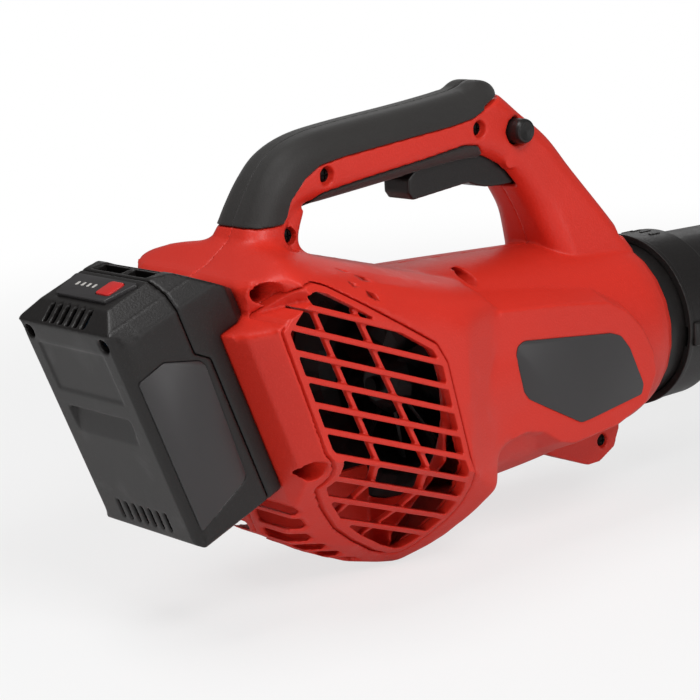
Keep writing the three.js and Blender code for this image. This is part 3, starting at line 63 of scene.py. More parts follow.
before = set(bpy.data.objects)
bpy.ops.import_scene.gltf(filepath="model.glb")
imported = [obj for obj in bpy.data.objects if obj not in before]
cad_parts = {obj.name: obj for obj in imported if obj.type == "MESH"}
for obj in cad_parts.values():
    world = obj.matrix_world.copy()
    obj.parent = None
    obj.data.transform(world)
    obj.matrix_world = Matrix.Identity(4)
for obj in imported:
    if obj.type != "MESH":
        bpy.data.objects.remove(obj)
CAD_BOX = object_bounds()

MM = 0.001
TUBE_END = 670  # mm from the bell mouth to the end of the blow tube
LEAN = math.radians(21)  # how far the battery leans back
TUBE_LOW, TUBE_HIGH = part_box("blow_tube")
BELL = Vector((TUBE_HIGH.x - TUBE_END * MM, 0.0, (TUBE_LOW.z + TUBE_HIGH.z) / 2))
SIDES = {"right": -1, "left": 1}


# ---------------------------------------------------------------- settings
def colour(name, default, description):
    return FloatVectorProperty(
        name=name, description=description, default=default, size=3, subtype="COLOR", min=0, max=1
    )


class BlowerColours(PropertyGroup):
    """Colours of the blower's plastics and metals."""

    housing: colour("Housing", (0.60, 0.024, 0.012), "Red of the two shells and the grilles")
    grip: colour("Grip", (0.013, 0.0115, 0.0105), "Soft overmould on the handle")
    case: colour("Case", (0.0088, 0.0074, 0.0071), "Black of the battery, tube and trigger")
    plate: colour("Plates", (0.020, 0.018, 0.019), "Bare plates on the pads and the battery")
    button: colour("Charge button", (0.55, 0.016, 0.014), "Button beside the charge lights")
    fan: colour("Fan", (0.010, 0.010, 0.0105), "Fan and its shroud")
    board: colour("Boards", (0.015, 0.085, 0.035), "Circuit boards")
    cells: colour("Cells", (0.05, 0.20, 0.33), "Sleeves of the battery's cells")
    copper: colour("Copper", (0.62, 0.29, 0.15), "Windings and contacts")
    steel: colour("Steel", (0.52, 0.52, 0.54), "Shaft, bearings and springs")
    # Painted shade: the screws are near-black so that the shade in their deep wells reads dark
    screw: colour("Screws", (0.014, 0.013, 0.013), "Housing and battery screws, near-black as painted shade of their wells")
    aluminium: colour("Aluminium", (0.68, 0.69, 0.70), "Ribs of the heat sink")


class BlowerSizes(PropertyGroup):
    """Sizes of the moulded finish."""

    voxel: FloatProperty(
        name="Mesh size", description="Finest step of a large moulding",
        default=0.0010, min=0.0006, unit="LENGTH",
    )
    fine: FloatProperty(
        name="Fine mesh size", description="Finest step of a small moulding",
        default=0.0006, min=0.0003, unit="LENGTH",
    )
    rounding: IntProperty(
        name="Rounding", description="Smoothing passes on the large edges", default=9, min=0, max=30
    )
    sides: IntProperty(name="Sides", description="Sides of a turned piece", default=128, min=16)
    slats: IntProperty(name="Slats", description="Slats in each grille", default=10, min=1)


class BlowerStage(PropertyGroup):
    """Camera and light."""

    lens: FloatProperty(
        name="Lens", description="Focal length on a 36 mm sensor", default=106.73, unit="CAMERA"
    )
    key: FloatProperty(
        name="Key light", description="Power that each softbox has a share of", default=17.0, unit="POWER"
    )
    floor: colour("Floor", (0.80, 0.80, 0.80), "Pale floor under the blower")


def colours():
    return bpy.context.scene.blower_colours


def sizes():
    return bpy.context.scene.blower_sizes


# ---------------------------------------------------------------- shader nodes
class Value:
    """A shader number. Python's + - * on it add Math nodes."""

    def __init__(self, finish, socket):
        self.finish, self.socket = finish, socket

    def _math(self, operation, a, b):
        made = self.finish.node("ShaderNodeMath", {"operation": operation}, {0: a, 1: b})
        return Value(self.finish, made.outputs[0])

    def __add__(self, other):
        return self._math("ADD", self, other)

    __radd__ = __add__

    def __sub__(self, other):
        return self._math("SUBTRACT", self, other)

    def __rsub__(self, other):
        return self._math("SUBTRACT", other, self)

    def __mul__(self, other):
        return self._math("MULTIPLY", self, other)

    __rmul__ = __mul__

    def above(self, edge, width):
        """0 below edge and 1 above it, with a soft step as wide as width."""
        made = self.finish.node(
            "ShaderNodeMapRange",
            {"interpolation_type": "SMOOTHSTEP", "clamp": True},
            {"Value": self, "From Min": edge - width / 2, "From Max": edge + width / 2},
        )
        return Value(self.finish, made.outputs[0])


class Nodes:
    """A node tree, and the one way that nodes come into it."""

    def __init__(self, tree):
        self.tree = tree

    def node(self, kind, settings=None, sockets=None):
        """A node of a kind, its settings made first, then the values or links of its sockets."""
        made = self.tree.nodes.new(kind)
        for name, value in (settings or {}).items():
            setattr(made, name, value)
        for name, value in (sockets or {}).items():
            if isinstance(value, Value):
                value = value.socket
            if isinstance(value, bpy.types.NodeSocket):
                self.tree.links.new(value, made.inputs[name])
            else:
                made.inputs[name].default_value = value
        return made


class Finish(Nodes):
    """One material. Its constants go straight onto the shader's own sockets."""

    def __init__(self, name, **constants):
        self.material = bpy.data.materials.new(name)
        self.material.use_nodes = True
        super().__init__(self.material.node_tree)
        self.shader = self.tree.nodes["Principled BSDF"]
        self.where = self.node("ShaderNodeTexCoord").outputs["Object"]
        for socket, value in constants.items():
            self.shader.inputs[socket.replace("_", " ")].default_value = value

    def stretched(self, scale):
        """The place on the piece, stretched along its axes."""
        made = self.node("ShaderNodeMapping", None, {"Vector": self.where, "Scale": scale})
        return made.outputs[0]

    def noise(self, scale, detail=2.0, roughness=0.5, where=None):
        """Soft cloudy noise, scale clouds to the metre."""
        sockets = {"Vector": where or self.where, "Scale": scale, "Detail": detail, "Roughness": roughness}
        return Value(self, self.node("ShaderNodeTexNoise", None, sockets).outputs[0])

    def cells(self, scale, feature="F1"):
        """Distance to the nearest of scattered dots, or of the lines between them."""
        sockets = {"Vector": self.where, "Scale": scale}
        made = self.node("ShaderNodeTexVoronoi", {"feature": feature}, sockets)
        return Value(self, made.outputs["Distance"])

    def mixed(self, amount, first, second):
        """A colour between first and second."""
        made = self.node("ShaderNodeMix", {"data_type": "RGBA"}, {0: amount, 6: first, 7: second})
        return made.outputs[2]

    def relief(self, height, distance, strength=1.0, below=None):
        """A bump of a height map, distance metres deep, on top of another bump."""
        sockets = {"Height": height, "Distance": distance, "Strength": strength}
        if below is not None:
            sockets["Normal"] = below
        return self.node("ShaderNodeBump", None, sockets).outputs[0]

    def drive(self, **sockets):
        """Links what varies over the surface, and gives the material."""
        for name, value in sockets.items():
            value = value.socket if isinstance(value, Value) else value
            self.tree.links.new(value, self.shader.inputs[name.replace("_", " ")])
        return self.material


def rgba(base, gain=1.0):
    """A colour made lighter or darker."""
    return tuple(min(1.0, c * gain) for c in base) + (1.0,)


def moulded_plastic(name, base, roughness, grain, depth, scuffs=0.10, tint=0.12, shine=0.42):
    """Grained plastic: spark-eroded grain, faint flow marks in the colour, and rubbed patches."""
    f = Finish(name, Specular_IOR_Level=shine)
    clouds = f.noise(9, 3)
    fine = f.noise(grain, 2, 0.6)
    pores = f.cells(grain * 0.75)
    rubbed = f.noise(38, 5, 0.62).above(0.60, 0.16)
    scratches = f.noise(60, 4, 0.7, f.stretched((1, 14, 9))).above(0.66, 0.05)
    body = f.mixed(clouds, rgba(base, 1 - tint), rgba(base, 1 + tint))
    body = f.mixed(fine.above(0.62, 0.12) * 0.22, body, rgba([c + 0.02 for c in base], 1.25))
    rough = roughness + (fine - 0.5) * 0.16 + (clouds - 0.5) * 0.08 - rubbed * scuffs + scratches * 0.08
    height = fine * 0.7 + pores * 0.5
    return f.drive(
        Base_Color=body,
        Roughness=rough,
        Normal=f.relief(scratches, 0.00003, 0.4, f.relief(height, depth, 1.0)),
    )


def soft_rubber(name, base):
    """Overmould: matt, with a fine sand texture and faint bloom where hands rub it."""
    f = Finish(name, Specular_IOR_Level=0.38, Sheen_Weight=0.12, Sheen_Roughness=0.5)
    sand = f.noise(1700, 2, 0.6)
    pits = f.cells(1200)
    bloom = f.noise(24, 4, 0.6)
    body = f.mixed(bloom, rgba(base, 0.8), rgba(base, 1.35))
    body = f.mixed(sand.above(0.6, 0.1) * 0.3, body, rgba([c + 0.015 for c in base], 1.3))
    return f.drive(
        Base_Color=body,
        Roughness=0.60 + (sand - 0.5) * 0.2 - bloom.above(0.62, 0.2) * 0.08,
        Normal=f.relief(sand * 0.8 + pits * 0.6, 0.00009, 1.0),
    )


def smooth_plate(name, base):
    """Bare plate: satin film with hairline scratches and a faint speckle."""
    f = Finish(name, Specular_IOR_Level=0.5, Coat_Weight=0.15, Coat_Roughness=0.3)
    speckle = f.noise(2600, 1, 0.5)
    haze = f.noise(30, 3)
    hairs = f.noise(90, 3, 0.7, f.stretched((1, 8, 20))).above(0.66, 0.04)
    body = f.mixed(haze, rgba(base, 0.88), rgba(base, 1.15))
    body = f.mixed(speckle.above(0.68, 0.1) * 0.25, body, rgba(base, 1.8))
    return f.drive(
        Base_Color=body,
        Roughness=0.36 + (haze - 0.5) * 0.12 + hairs * 0.12,
        Normal=f.relief(speckle + hairs, 0.00001, 0.6),
    )


def metal(name, base, roughness, stretch=(1, 1, 1)):
    """Drawn or turned metal with fine tool marks and slight tarnish."""
    f = Finish(name, Metallic=1.0)
    marks = f.noise(900, 3, 0.6, f.stretched(stretch))
    tarnish = f.noise(70, 4, 0.6)
    body = f.mixed(tarnish.above(0.58, 0.3), rgba(base), rgba(base, 0.72))
    return f.drive(
        Base_Color=body,
        Roughness=roughness + (marks - 0.5) * 0.2 + tarnish.above(0.55, 0.3) * 0.12,
        Normal=f.relief(marks, 0.00002, 0.6),
    )


def wound_copper(name, base):
    """Enamelled wire laid in turns round the motor."""
    f = Finish(name, Metallic=0.85)
    across = f.node("ShaderNodeSeparateXYZ", None, {0: f.where}).outputs[0]
    turns = Value(f, across) * 9000.0  # radians to the metre: a 0.7 mm wire
    wave = f.node("ShaderNodeMath", {"operation": "SINE"}, {0: turns}).outputs[0]
    wire = Value(f, wave) * 0.5 + 0.5
    haze = f.noise(200, 3)
    body = f.mixed(wire * 0.6 + haze * 0.3, rgba(base, 0.45), rgba(base, 1.1))
    return f.drive(Base_Color=body, Roughness=0.32 + haze * 0.2, Normal=f.relief(wire, 0.00012, 0.8))


def circuit_board(name, base):
    """Coated board with faint tracks and solder dots."""
    f = Finish(name, Specular_IOR_Level=0.5)
    tracks = f.cells(420, "DISTANCE_TO_EDGE").above(0.05, 0.03)
    dots = f.cells(800).above(0.22, 0.05)
    body = f.mixed(tracks, rgba(base, 1.9), rgba(base))
    body = f.mixed(1 - dots, body, SOLDER)
    bumps = f.relief(tracks + dots, 0.00004, 0.6)
    return f.drive(Base_Color=body, Roughness=0.35 + dots * 0.15, Normal=bumps)


def clear_window(name, dull, bright):
    """Milky window over a charge light, unlit."""
    f = Finish(name, Specular_IOR_Level=0.5)
    haze = f.noise(800, 2)
    return f.drive(Base_Color=f.mixed(haze, dull, bright), Roughness=0.22 + haze * 0.15)


SOLDER = (0.55, 0.54, 0.5, 1)
WINDOW = (0.42, 0.40, 0.38, 1), (0.60, 0.58, 0.55, 1)
FINISHES = {}  # the materials made so far, by slot or look


def recipe(look):
    """How to make the finish of one of the record's slots, or a look of its own."""
    c = colours()
    return {
        "housing_red": (moulded_plastic, "housing red", c.housing, 0.42, 1100, 0.00013, 0.10, 0.12, 0.34),
        "grip_rubber": (soft_rubber, "grip rubber", c.grip),
        "black_plastic": (moulded_plastic, "black plastic", c.case, 0.40, 1250, 0.00008, 0.08, 0.2, 0.38),
        "fan_plastic": (moulded_plastic, "fan plastic", c.fan, 0.36, 1800, 0.00003, 0.08, 0.2),
        "label_plate": (smooth_plate, "bare plate", c.plate),
        "button_red": (moulded_plastic, "charge button red", c.button, 0.34, 2200, 0.00002, 0.06),
        "steel": (metal, "plated steel", c.steel, 0.34),
        # Near-black steel: painted shade of the deep screw wells
        "screw": (metal, "blackened steel", c.screw, 0.55),
        "aluminium": (metal, "extruded aluminium", c.aluminium, 0.38, (1, 1, 12)),
        "copper": (wound_copper, "copper wire", c.copper),
        "circuit_board": (circuit_board, "circuit board", c.board),
        "cell_sleeve": (moulded_plastic, "cell sleeve", c.cells, 0.30, 900, 0.00002),
        "window": (clear_window, "charge light window", *WINDOW),
    }[look]


def finish(look):
    """A slot's or a look's material, made when it is first asked for."""
    if look not in FINISHES:
        make, *details = recipe(look)
        FINISHES[look] = make(*details)
    return FINISHES[look]


# ---------------------------------------------------------------- making pieces
def metres(points):
    """mm from the bell mouth, as metres in the frame."""
    return np.asarray(points, float) * MM + np.array(BELL)


def leaned(points):
    """Points in the battery's own leaning axes, in mm, as upright mm."""
    p = np.asarray(points, float)
    c, s = math.cos(LEAN), math.sin(LEAN)
    return np.stack([p[..., 0] * c - p[..., 2] * s, p[..., 1], p[..., 0] * s + p[..., 2] * c], -1)


def battery_axes(x, z):
    """Upright mm as mm along and up the battery's own leaning axes."""
    return x * math.cos(LEAN) + z * math.sin(LEAN), z * math.cos(LEAN) - x * math.sin(LEAN)


def points_of(mesh, kind):
    """A mesh's points as an array with a row for each."""
    co = np.empty(len(mesh.vertices) * 3, kind)
    mesh.vertices.foreach_get("co", co)
    return co.reshape(-1, 3)


def mesh_of(name, vertices, faces):
    """A mesh whose faces all look outward."""
    mesh = bpy.data.meshes.new(name)
    mesh.from_pydata([tuple(v) for v in vertices], [], faces)
    made = bmesh.new()
    made.from_mesh(mesh)
    bmesh.ops.recalc_face_normals(made, faces=made.faces)
    made.to_mesh(mesh)
    made.free()
    return mesh


def add(name, mesh):
    """A new object in the scene."""
    piece = bpy.data.objects.new(name, mesh)
    bpy.context.scene.collection.objects.link(piece)
    return piece


def settle(piece):
    """Applies a piece's modifiers to its mesh."""
    view = bpy.context.evaluated_depsgraph_get()
    shaped = bpy.data.meshes.new_from_object(piece.evaluated_get(view))
    old = piece.data
    piece.modifiers.clear()
    piece.data = shaped
    bpy.data.meshes.remove(old)
    return piece


def dress(piece, body, slot, *nodes, look=None):
    """Gives a piece its finish, its body and the CAD nodes that it stands for."""
    piece.data.materials.clear()
    piece.data.materials.append(finish(look or slot))
    piece.data.shade_smooth()
    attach(piece, body)
    if nodes:
        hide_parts(*nodes)


def copy_of(name, node):
    """A new mesh with the shape of a CAD node, its doubled points joined."""
    piece = add(name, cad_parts[node].data.copy())
    piece.data.materials.clear()
    made = bmesh.new()
    made.from_mesh(piece.data)
    bmesh.ops.remove_doubles(made, verts=made.verts, dist=1e-6)
    made.to_mesh(piece.data)
    made.free()
    return piece


def snap(piece, pairs):
    """Moves the points that lie on a coarse CAD surface onto the smooth surface it stands for."""
    full, gone, reach = 0.0005, 0.0011, 0.004  # metres: moved wholly, not at all, how far to look
    co = points_of(piece.data, np.float32)
    for coarse, fine in pairs:
        for i, place in enumerate(co):
            point = Vector(place)
            near = coarse.find_nearest(point, gone)
            if near[0] is None:
                continue
            share = min(1.0, (gone - near[3]) / (gone - full))
            target = fine.find_nearest(point, reach)
            if target[0] is not None:
                co[i] = point.lerp(target[0] + (point - near[0]) * 0.5, share)
    piece.data.vertices.foreach_set("co", co.ravel())


def moulding(
    name, node, voxel, passes, faces, pairs=(), keep_parting=False, tools=(), zones=(), holes=(), more=()
):
    """The shape of a CAD node with its edges rounded off, as a mould leaves them.

    pairs are a coarse and a smooth surface, keep_parting leaves the points on the parting face alone, tools
    are cut out before the rounding and holes after it, zones get more rounding, and more is joined on.
    """
    piece = fuse(cut(copy_of(name, node), *tools), *more)
    remesh = piece.modifiers.new("skin", "REMESH")
    remesh.mode, remesh.voxel_size, remesh.adaptivity = "VOXEL", voxel, 0.0
    settle(piece)
    if pairs:
        snap(piece, pairs)
    loose = piece.vertex_groups.new(name="loose")
    free = range(len(piece.data.vertices))
    if keep_parting:
        free = np.nonzero(np.abs(points_of(piece.data, np.float32)[:, 1]) > voxel * 1.3)[0].tolist()
    loose.add(list(free), 1.0, "REPLACE")
    smooth = piece.modifiers.new("round", "SMOOTH")
    smooth.factor, smooth.iterations, smooth.vertex_group = 0.5, passes, "loose"
    settle(piece)
    piece.vertex_groups.clear()
    for zone, times in zones:
        rounder(piece, zone, times)
    cut(piece, *holes)
    if holes:
        crisp(piece, 55)
    triangles = len(piece.data.polygons) * 2
    if triangles > faces:
        thin = piece.modifiers.new("thin", "DECIMATE")
        thin.ratio = faces / triangles
        settle(piece)
    if not holes:
        piece.data.shade_smooth()
    even = piece.modifiers.new("even", "WEIGHTED_NORMAL")
    even.weight, even.keep_sharp = 60, bool(holes)
    return piece


def rounder(piece, zone, passes):
    """More rounding where zone picks points by their x, y and z in mm. The parting face stays flat."""
    mesh = piece.data
    co = points_of(mesh, np.float64)
    picked = zone(*((co - np.array(BELL)) / MM).T)
    ends = np.empty(len(mesh.edges) * 2, np.int64)
    mesh.edges.foreach_get("vertices", ends)
    ends = ends.reshape(-1, 2)
    parting = np.abs(co[:, 1]) < 0.6 * MM
    within = parting.copy()  # points of the parting face that aren't on its rim
    within[ends[~parting[ends].all(1)].ravel()] = False
    ends = ends[picked[ends].any(1) & (within[ends[:, 0]] == within[ends[:, 1]])]
    one, other = np.concatenate((ends, ends[:, ::-1])).T
    near, place = np.unique(one, return_inverse=True)
    count = np.bincount(place)
    flat = parting[near]
    free = picked[near]
    for _ in range(passes):
        middle = np.stack([np.bincount(place, co[other, axis]) / count for axis in range(3)], 1)
        middle[flat, 1] = co[near[flat], 1]
        co[near[free]] += 0.5 * (middle[free] - co[near[free]])
    mesh.vertices.foreach_set("co", co.ravel())
    mesh.update()


def inside(outline, x, z):
    """Which points lie within an outline."""
    within = np.zeros(len(x), bool)
    for (x0, z0), (x1, z1) in zip(outline, outline[1:] + outline[:1]):
        if z0 != z1:
            within ^= ((z0 > z) != (z1 > z)) & (x < (x1 - x0) * (z - z0) / (z1 - z0) + x0)
    return within


def skin(rows, count, loop=False):
    """Faces from each ring of points to the next, and in a loop from the last to the first."""
    faces = []
    for s in range(rows if loop else rows - 1):
        a, b = s * count, ((s + 1) % rows) * count
        faces += [(a + i, a + (i + 1) % count, b + (i + 1) % count, b + i) for i in range(count)]
    return faces


def rings_mesh(name, rings, loop=False):
    """Rings of points skinned one to the next, with closed ends where they aren't a loop."""
    rings = np.asarray(rings, float)
    rows, count = rings.shape[:2]
    faces = skin(rows, count, loop)
    if not loop:
        faces += [tuple(range(count)), tuple(range((rows - 1) * count, rows * count))]
    return mesh_of(name, rings.reshape(-1, 3), faces)


def rings_piece(name, rings, battery=False, loop=False):
    """An object skinned over rings in mm, upright or in the battery's axes."""
    return add(name, rings_mesh(name, metres(leaned(rings) if battery else rings), loop))


def rounded_profile(points, radius, steps=4):
    """A closed profile with each corner replaced by a small arc."""
    points = [np.array(p, float) for p in points]
    out = []
    for i, p in enumerate(points):
        before, after = points[i - 1] - p, points[(i + 1) % len(points)] - p
        lb, la = np.linalg.norm(before), np.linalg.norm(after)
        r = min(radius, lb * 0.45, la * 0.45)
        start, end = p + before / lb * r, p + after / la * r
        for k in range(steps + 1):
            t = k / steps
            out.append((1 - t) ** 2 * start + 2 * t * (1 - t) * p + t**2 * end)
    return out


def turned(name, profile, axis="x", centre=(0, 0), radius=0.4, sides=None, battery=False):
    """A closed profile of (along, radius) in mm, turned about a line along an axis."""
    sides = sides or sizes().sides
    order = {"x": [0, 1, 2], "y": [1, 0, 2], "z": [1, 2, 0]}[axis]
    profile = rounded_profile(profile, radius)
    rings = []
    for k in range(sides):
        a = 2 * math.pi * k / sides
        c, s = math.cos(a), math.sin(a)
        rings.append([(along, centre[0] + r * c, centre[1] + r * s) for along, r in profile])
    return rings_piece(name, np.array(rings)[..., order], battery, loop=True)


def block(name, low, high, battery=False):
    """A box between two points in mm."""
    x, y, z = zip(low, high)
    corners = [(i, j, k) for i in x for j in y for k in z]
    faces = [(0, 1, 3, 2), (4, 6, 7, 5), (0, 4, 5, 1), (2, 3, 7, 6), (0, 2, 6, 4), (1, 5, 7, 3)]
    return add(name, mesh_of(name, metres(leaned(corners) if battery else corners), faces))


def prism(name, outline, low, high, battery=False, across="y", radius=1.0, edge=0.3):
    """An outline with round corners, raised from low to high, its far edge softened."""
    ring = np.array(rounded_profile(outline, radius, 5))
    middle = ring.mean(0)
    size = np.ptp(ring, axis=0).max()
    up = math.copysign(1, high - low)
    levels = [(low, 0.0), (high - up * edge, 0.0), (high - up * edge * 0.3, edge * 0.3), (high, edge)]
    rings = []
    for level, inset in levels:
        shrunk = middle + (ring - middle) * (1 - 2 * inset / size)
        rings.append([(a, level, b) if across == "y" else (a, b, level) for a, b in shrunk])
    return rings_piece(name, rings, battery)


def inset_outline(points, distance):
    """An outline with each side moved inward."""
    p = np.array(points, float)
    out = []
    area = sum(a[0] * b[1] - b[0] * a[1] for a, b in zip(p, np.roll(p, -1, 0)))
    turn = math.copysign(1, area)
    for i in range(len(p)):
        d1, d2 = p[i] - p[i - 1], p[(i + 1) % len(p)] - p[i]
        n1 = np.array((-d1[1], d1[0])) / np.linalg.norm(d1) * turn
        n2 = np.array((-d2[1], d2[0])) / np.linalg.norm(d2) * turn
        m = n1 + n2
        m /= np.linalg.norm(m)
        out.append(p[i] + m * distance / max(0.35, float(m @ n1)))
    return out


def rectangle(centre, half_a, half_b):
    """The outline of a rectangle."""
    (a, b), corners = centre, ((-1, -1), (1, -1), (1, 1), (-1, 1))
    return [(a + i * half_a, b + j * half_b) for i, j in corners]


def slab(name, outline, low, high):
    """An outline seen from the side, with sharp corners, from y = low to y = high."""
    return rings_piece(name, [[(x, y, z) for x, z in outline] for y in (low, high)])


def combine(piece, operation, others):
    """Cuts or joins other shapes, and removes them."""
    for other in others:
        step = piece.modifiers.new("step", "BOOLEAN")
        step.operation, step.solver, step.object = operation, "MANIFOLD", other
        settle(piece)
        bpy.data.objects.remove(other)
    return piece


def cut(piece, *tools):
    """Takes the tools' shapes out of a piece."""
    return combine(piece, "DIFFERENCE", tools)


def fuse(piece, *others):
    """Joins other shapes into a piece."""
    return combine(piece, "UNION", others)


def soften(piece, width):
    """Rounds a piece's sharp edges."""
    bevel = piece.modifiers.new("edges", "BEVEL")
    bevel.width, bevel.segments, bevel.limit_method = width * MM, 3, "ANGLE"
    bevel.angle_limit = math.radians(30)
    bevel.harden_normals = True
    return settle(piece)


def crisp(piece, angle=35):
    """Keeps a cut piece's sharp edges sharp and its round faces smooth."""
    piece.data.shade_smooth()
    made = bmesh.new()
    made.from_mesh(piece.data)
    limit = math.radians(angle)
    for e in made.edges:
        e.smooth = len(e.link_faces) == 2 and e.calc_face_angle(0) < limit
    made.to_mesh(piece.data)
    made.free()
    return piece


# ---------------------------------------------------------------- smooth forms of the housing
BARREL = [  # x, radius of the top, radius of the bottom
    (-12, 64, 66), (40, 62, 66), (93, 59.5, 64), (135, 57.5, 60), (170, 55.5, 57.5), (183, 53.5, 54),
]
BARREL_SIDES = 24  # as in the CAD model
HANDLE = [  # outer x, outer z, inner x, inner z, half width
    (-92, 82, -48, 62, 27), (-86, 93, -57, 82, 21), (-78, 107, -58, 94, 18.5), (-68, 121.5, -52, 101, 18),
    (-57, 131, -44, 104, 18), (-40, 137.5, -33, 105, 18), (-15, 141, -10, 107, 18), (33, 145, 35, 111, 18),
    (62, 148, 66, 113, 18), (76, 150, 79, 112, 18), (86, 150, 88, 108, 18), (94, 146, 96, 103, 18),
    (108, 135, 103, 96, 19), (128, 120, 109, 88, 20), (146, 100, 116, 77, 21), (170, 72, 122, 64, 24),
    (190, 47, 128, 47, 27),
]
HANDLE_ROUND = 12  # radius of the handle's corners


def through(stations, steps):
    """Points on a smooth line through the stations."""
    p = np.array(stations, float)
    p = np.vstack([2 * p[0] - p[1], p, 2 * p[-1] - p[-2]])
    out = []
    for i in range(1, len(p) - 2):
        for k in range(steps):
            t = k / steps
            a, b, c, d = p[i - 1 : i + 3]
            square, cube = 2 * a - 5 * b + 4 * c - d, 3 * b - a - 3 * c + d
            out.append(0.5 * (2 * b + (c - a) * t + square * t**2 + cube * t**3))
    out.append(p[-2])
    return out


def barrel_rings(stations, sides):
    """Rings round the barrel, of its own radius above and below."""
    rings = []
    for x, top, bottom in stations:
        side = min((top + bottom) / 2 - 1.5, top)
        ring = []
        for k in range(sides):
            a = 2 * math.pi * (k + 0.5) / sides
            ring.append((x, side * math.cos(a), (top if math.sin(a) > 0 else bottom) * math.sin(a)))
        rings.append(ring)
    return rings


def handle_ring(station, inset, steps):
    """One section through the loop handle, inset mm inside its skin."""
    ox, oz, ix, iz, half = station
    centre = ((ox + ix) / 2, (oz + iz) / 2)
    length = math.hypot(ox - ix, oz - iz)
    along = ((ox - ix) / length, (oz - iz) / length)
    h, w = length / 2 - inset, half - inset
    r = max(2, min(HANDLE_ROUND - inset, w - 1, h - 1))
    ring = []
    for sy, sh, start in ((1, 1, 0), (-1, 1, 90), (-1, -1, 180), (1, -1, 270)):
        for k in range(steps + 1):
            a = math.radians(start + 90 * k / steps)
            t = sh * (h - r) + r * math.sin(a)
            y = sy * (w - r) + r * math.cos(a)
            ring.append((centre[0] + along[0] * t, y, centre[1] + along[1] * t))
    return ring


def tree_of(rings):
    """A search tree of the skin over rings of points in mm."""
    rings = metres(rings)
    return BVHTree.FromPolygons([tuple(v) for v in rings.reshape(-1, 3)], skin(*rings.shape[:2]))


def barrel_pair():
    """The barrel as the CAD has it, and smooth."""
    coarse = tree_of(barrel_rings(BARREL, BARREL_SIDES))
    fine = tree_of(barrel_rings(through(BARREL, 6), 120))
    return coarse, fine


def handle_pair(inset):
    """The handle as the CAD has it, and smooth."""
    coarse = tree_of([handle_ring(s, inset, 2) for s in HANDLE])
    fine = tree_of([handle_ring(s, inset, 10) for s in through(HANDLE, 8)])
    return coarse, fine


# ---------------------------------------------------------------- pieces
SCREWS = [  # x and z of the housing screws
    (-35, 118), (73, 129), (-61, 91), (-104, 73), (-89.9, -15.6), (178, 59), (165, -63), (48, 53.8),
]
SEAT = -13  # y of the faces that their heads bear on
GRILLE = [  # x and z round a grille
    (-112.6, 58.3), (-110.2, 60.2), (-97.5, 73.4), (-92.3, 76.7), (-86, 77), (-79, 74.5), (-14, 35),
    (-7, 24), (6, -28), (9.5, -37), (13.7, -46.5), (16, -58), (15, -68), (11, -77), (5, -85), (-1, -88.6),
    (-7, -88.2), (-18.3, -83.2), (-38, -71.3), (-56, -58.4), (-70.7, -44), (-81.3, -31.5), (-84.4, -27),
    (-81.2, -23.5), (-80.6, -19.5), (-82, -15.5), (-85.4, -11), (-89.6, -6.2),
]
CHAMBER = [  # y and z of one side of the intake chamber's section, at the bell mouth
    (9, -96), (22, -85), (70, -34), (70, 38), (68.3, 45), (64, 51.5), (57, 57), (46, 61.5), (30, 65),
]
DROP = 0.28  # how far the chamber's lines fall per mm forward
CROSS_BARS = [  # x and z down the middle of each
    [(-94.5, 73), (-54.8, -19), (-50.5, -30), (-54.6, -41), (-60, -53), (-72, -77)],
    [(-64.8, 60), (-22.3, -27), (-15.8, -43.5), (-20.6, -54.3), (-33, -70), (-47, -88)],
]
SLAT_THICK, BAR_THICK, RIM = 2.9, 2.7, 4.3
SLAT_SLOPE = math.radians(20.3)
SLAT_TOP, SLAT_PITCH = 50.4, 11.8  # height of the top slat at x = -50, and the drop to the next


def chamber_zones():
    """The chamber's corners that the mould leaves broad, and the passes that round them.

    Each zone picks points by x, y and z, clear of the grille, the screws' wells and the battery's rails.
    """
    grille, near_grille = [[tuple(p) for p in inset_outline(GRILLE, -reach)] for reach in (3.5, 1.8)]

    def clear(x, z, outline, rim):
        free = ~inside(outline, x, z)
        for wx, wz in SCREWS:
            free &= np.hypot(x - wx, z - wz) > rim
        return free

    def between(low, value, high):
        return (value > low) & (value < high)

    def away(x, y, z):
        along = battery_axes(x, z)[0]
        return clear(x, z, grille, 7.5) & (along > -88) & (np.abs(y) > 0.9)

    def cheek(x, y, z):
        along, up = battery_axes(x, z)
        lip = (along < -93) & (up < 92)
        rear = (along > -96) & (x < -58) & between(-24, z, 92)
        return clear(x, z, near_grille, 6.4) & ~lip & rear & (np.abs(y) > 44)

    def hood(x, y, z):
        return away(x, y, z) & (x < -45) & between(55, z, 96) & ((np.abs(y) > 24) | (z < 92))

    def shoulder(x, y, z):
        high = z + DROP * x
        vents = between(-72, x, -36) & (z > 60)
        return away(x, y, z) & ~vents & (x < 42) & (np.abs(y) > 36) & (high > 30) & (z < 62)

    def leg(x, y, z):
        return clear(x, z, grille, 5.4) & (np.hypot(x + 50, z - 86) < 21) & (np.abs(y) > 0.9) & (x > -60)

    def keel(x, y, z):
        return away(x, y, z) & between(-6, x, 48) & (np.abs(y) > 6) & (z < 0)

    return [(hood, 140), (shoulder, 90), (keel, 60), (cheek, 45), (leg, 50)]


VENTS = [  # x, y, z and half length of each diamond
    (-55.1, 45.7, 73.6, 2.5), (-46.6, 51.5, 68.7, 4.3), (-58.9, 58.3, 69.2, 2.5), (-50.3, 63.1, 63.3, 4.3),
]


def vent(x, y, z, half, s):
    """The tool for a diamond hole through the chamber's shoulder, on side s."""
    centre, out = Vector((x, s * y, z)), Vector((0.25, s * 0.62, 0.74)).normalized()
    along = Vector((0.64, s * 0.57, -0.51))
    along = (along - out * along.dot(out)).normalized()
    across = out.cross(along)
    corners = [along * half, across * half * 0.48, along * -half, across * half * -0.48]
    rings = [[centre + corner + out * depth for corner in corners] for depth in (-15, 7)]
    return rings_piece("vent", rings)


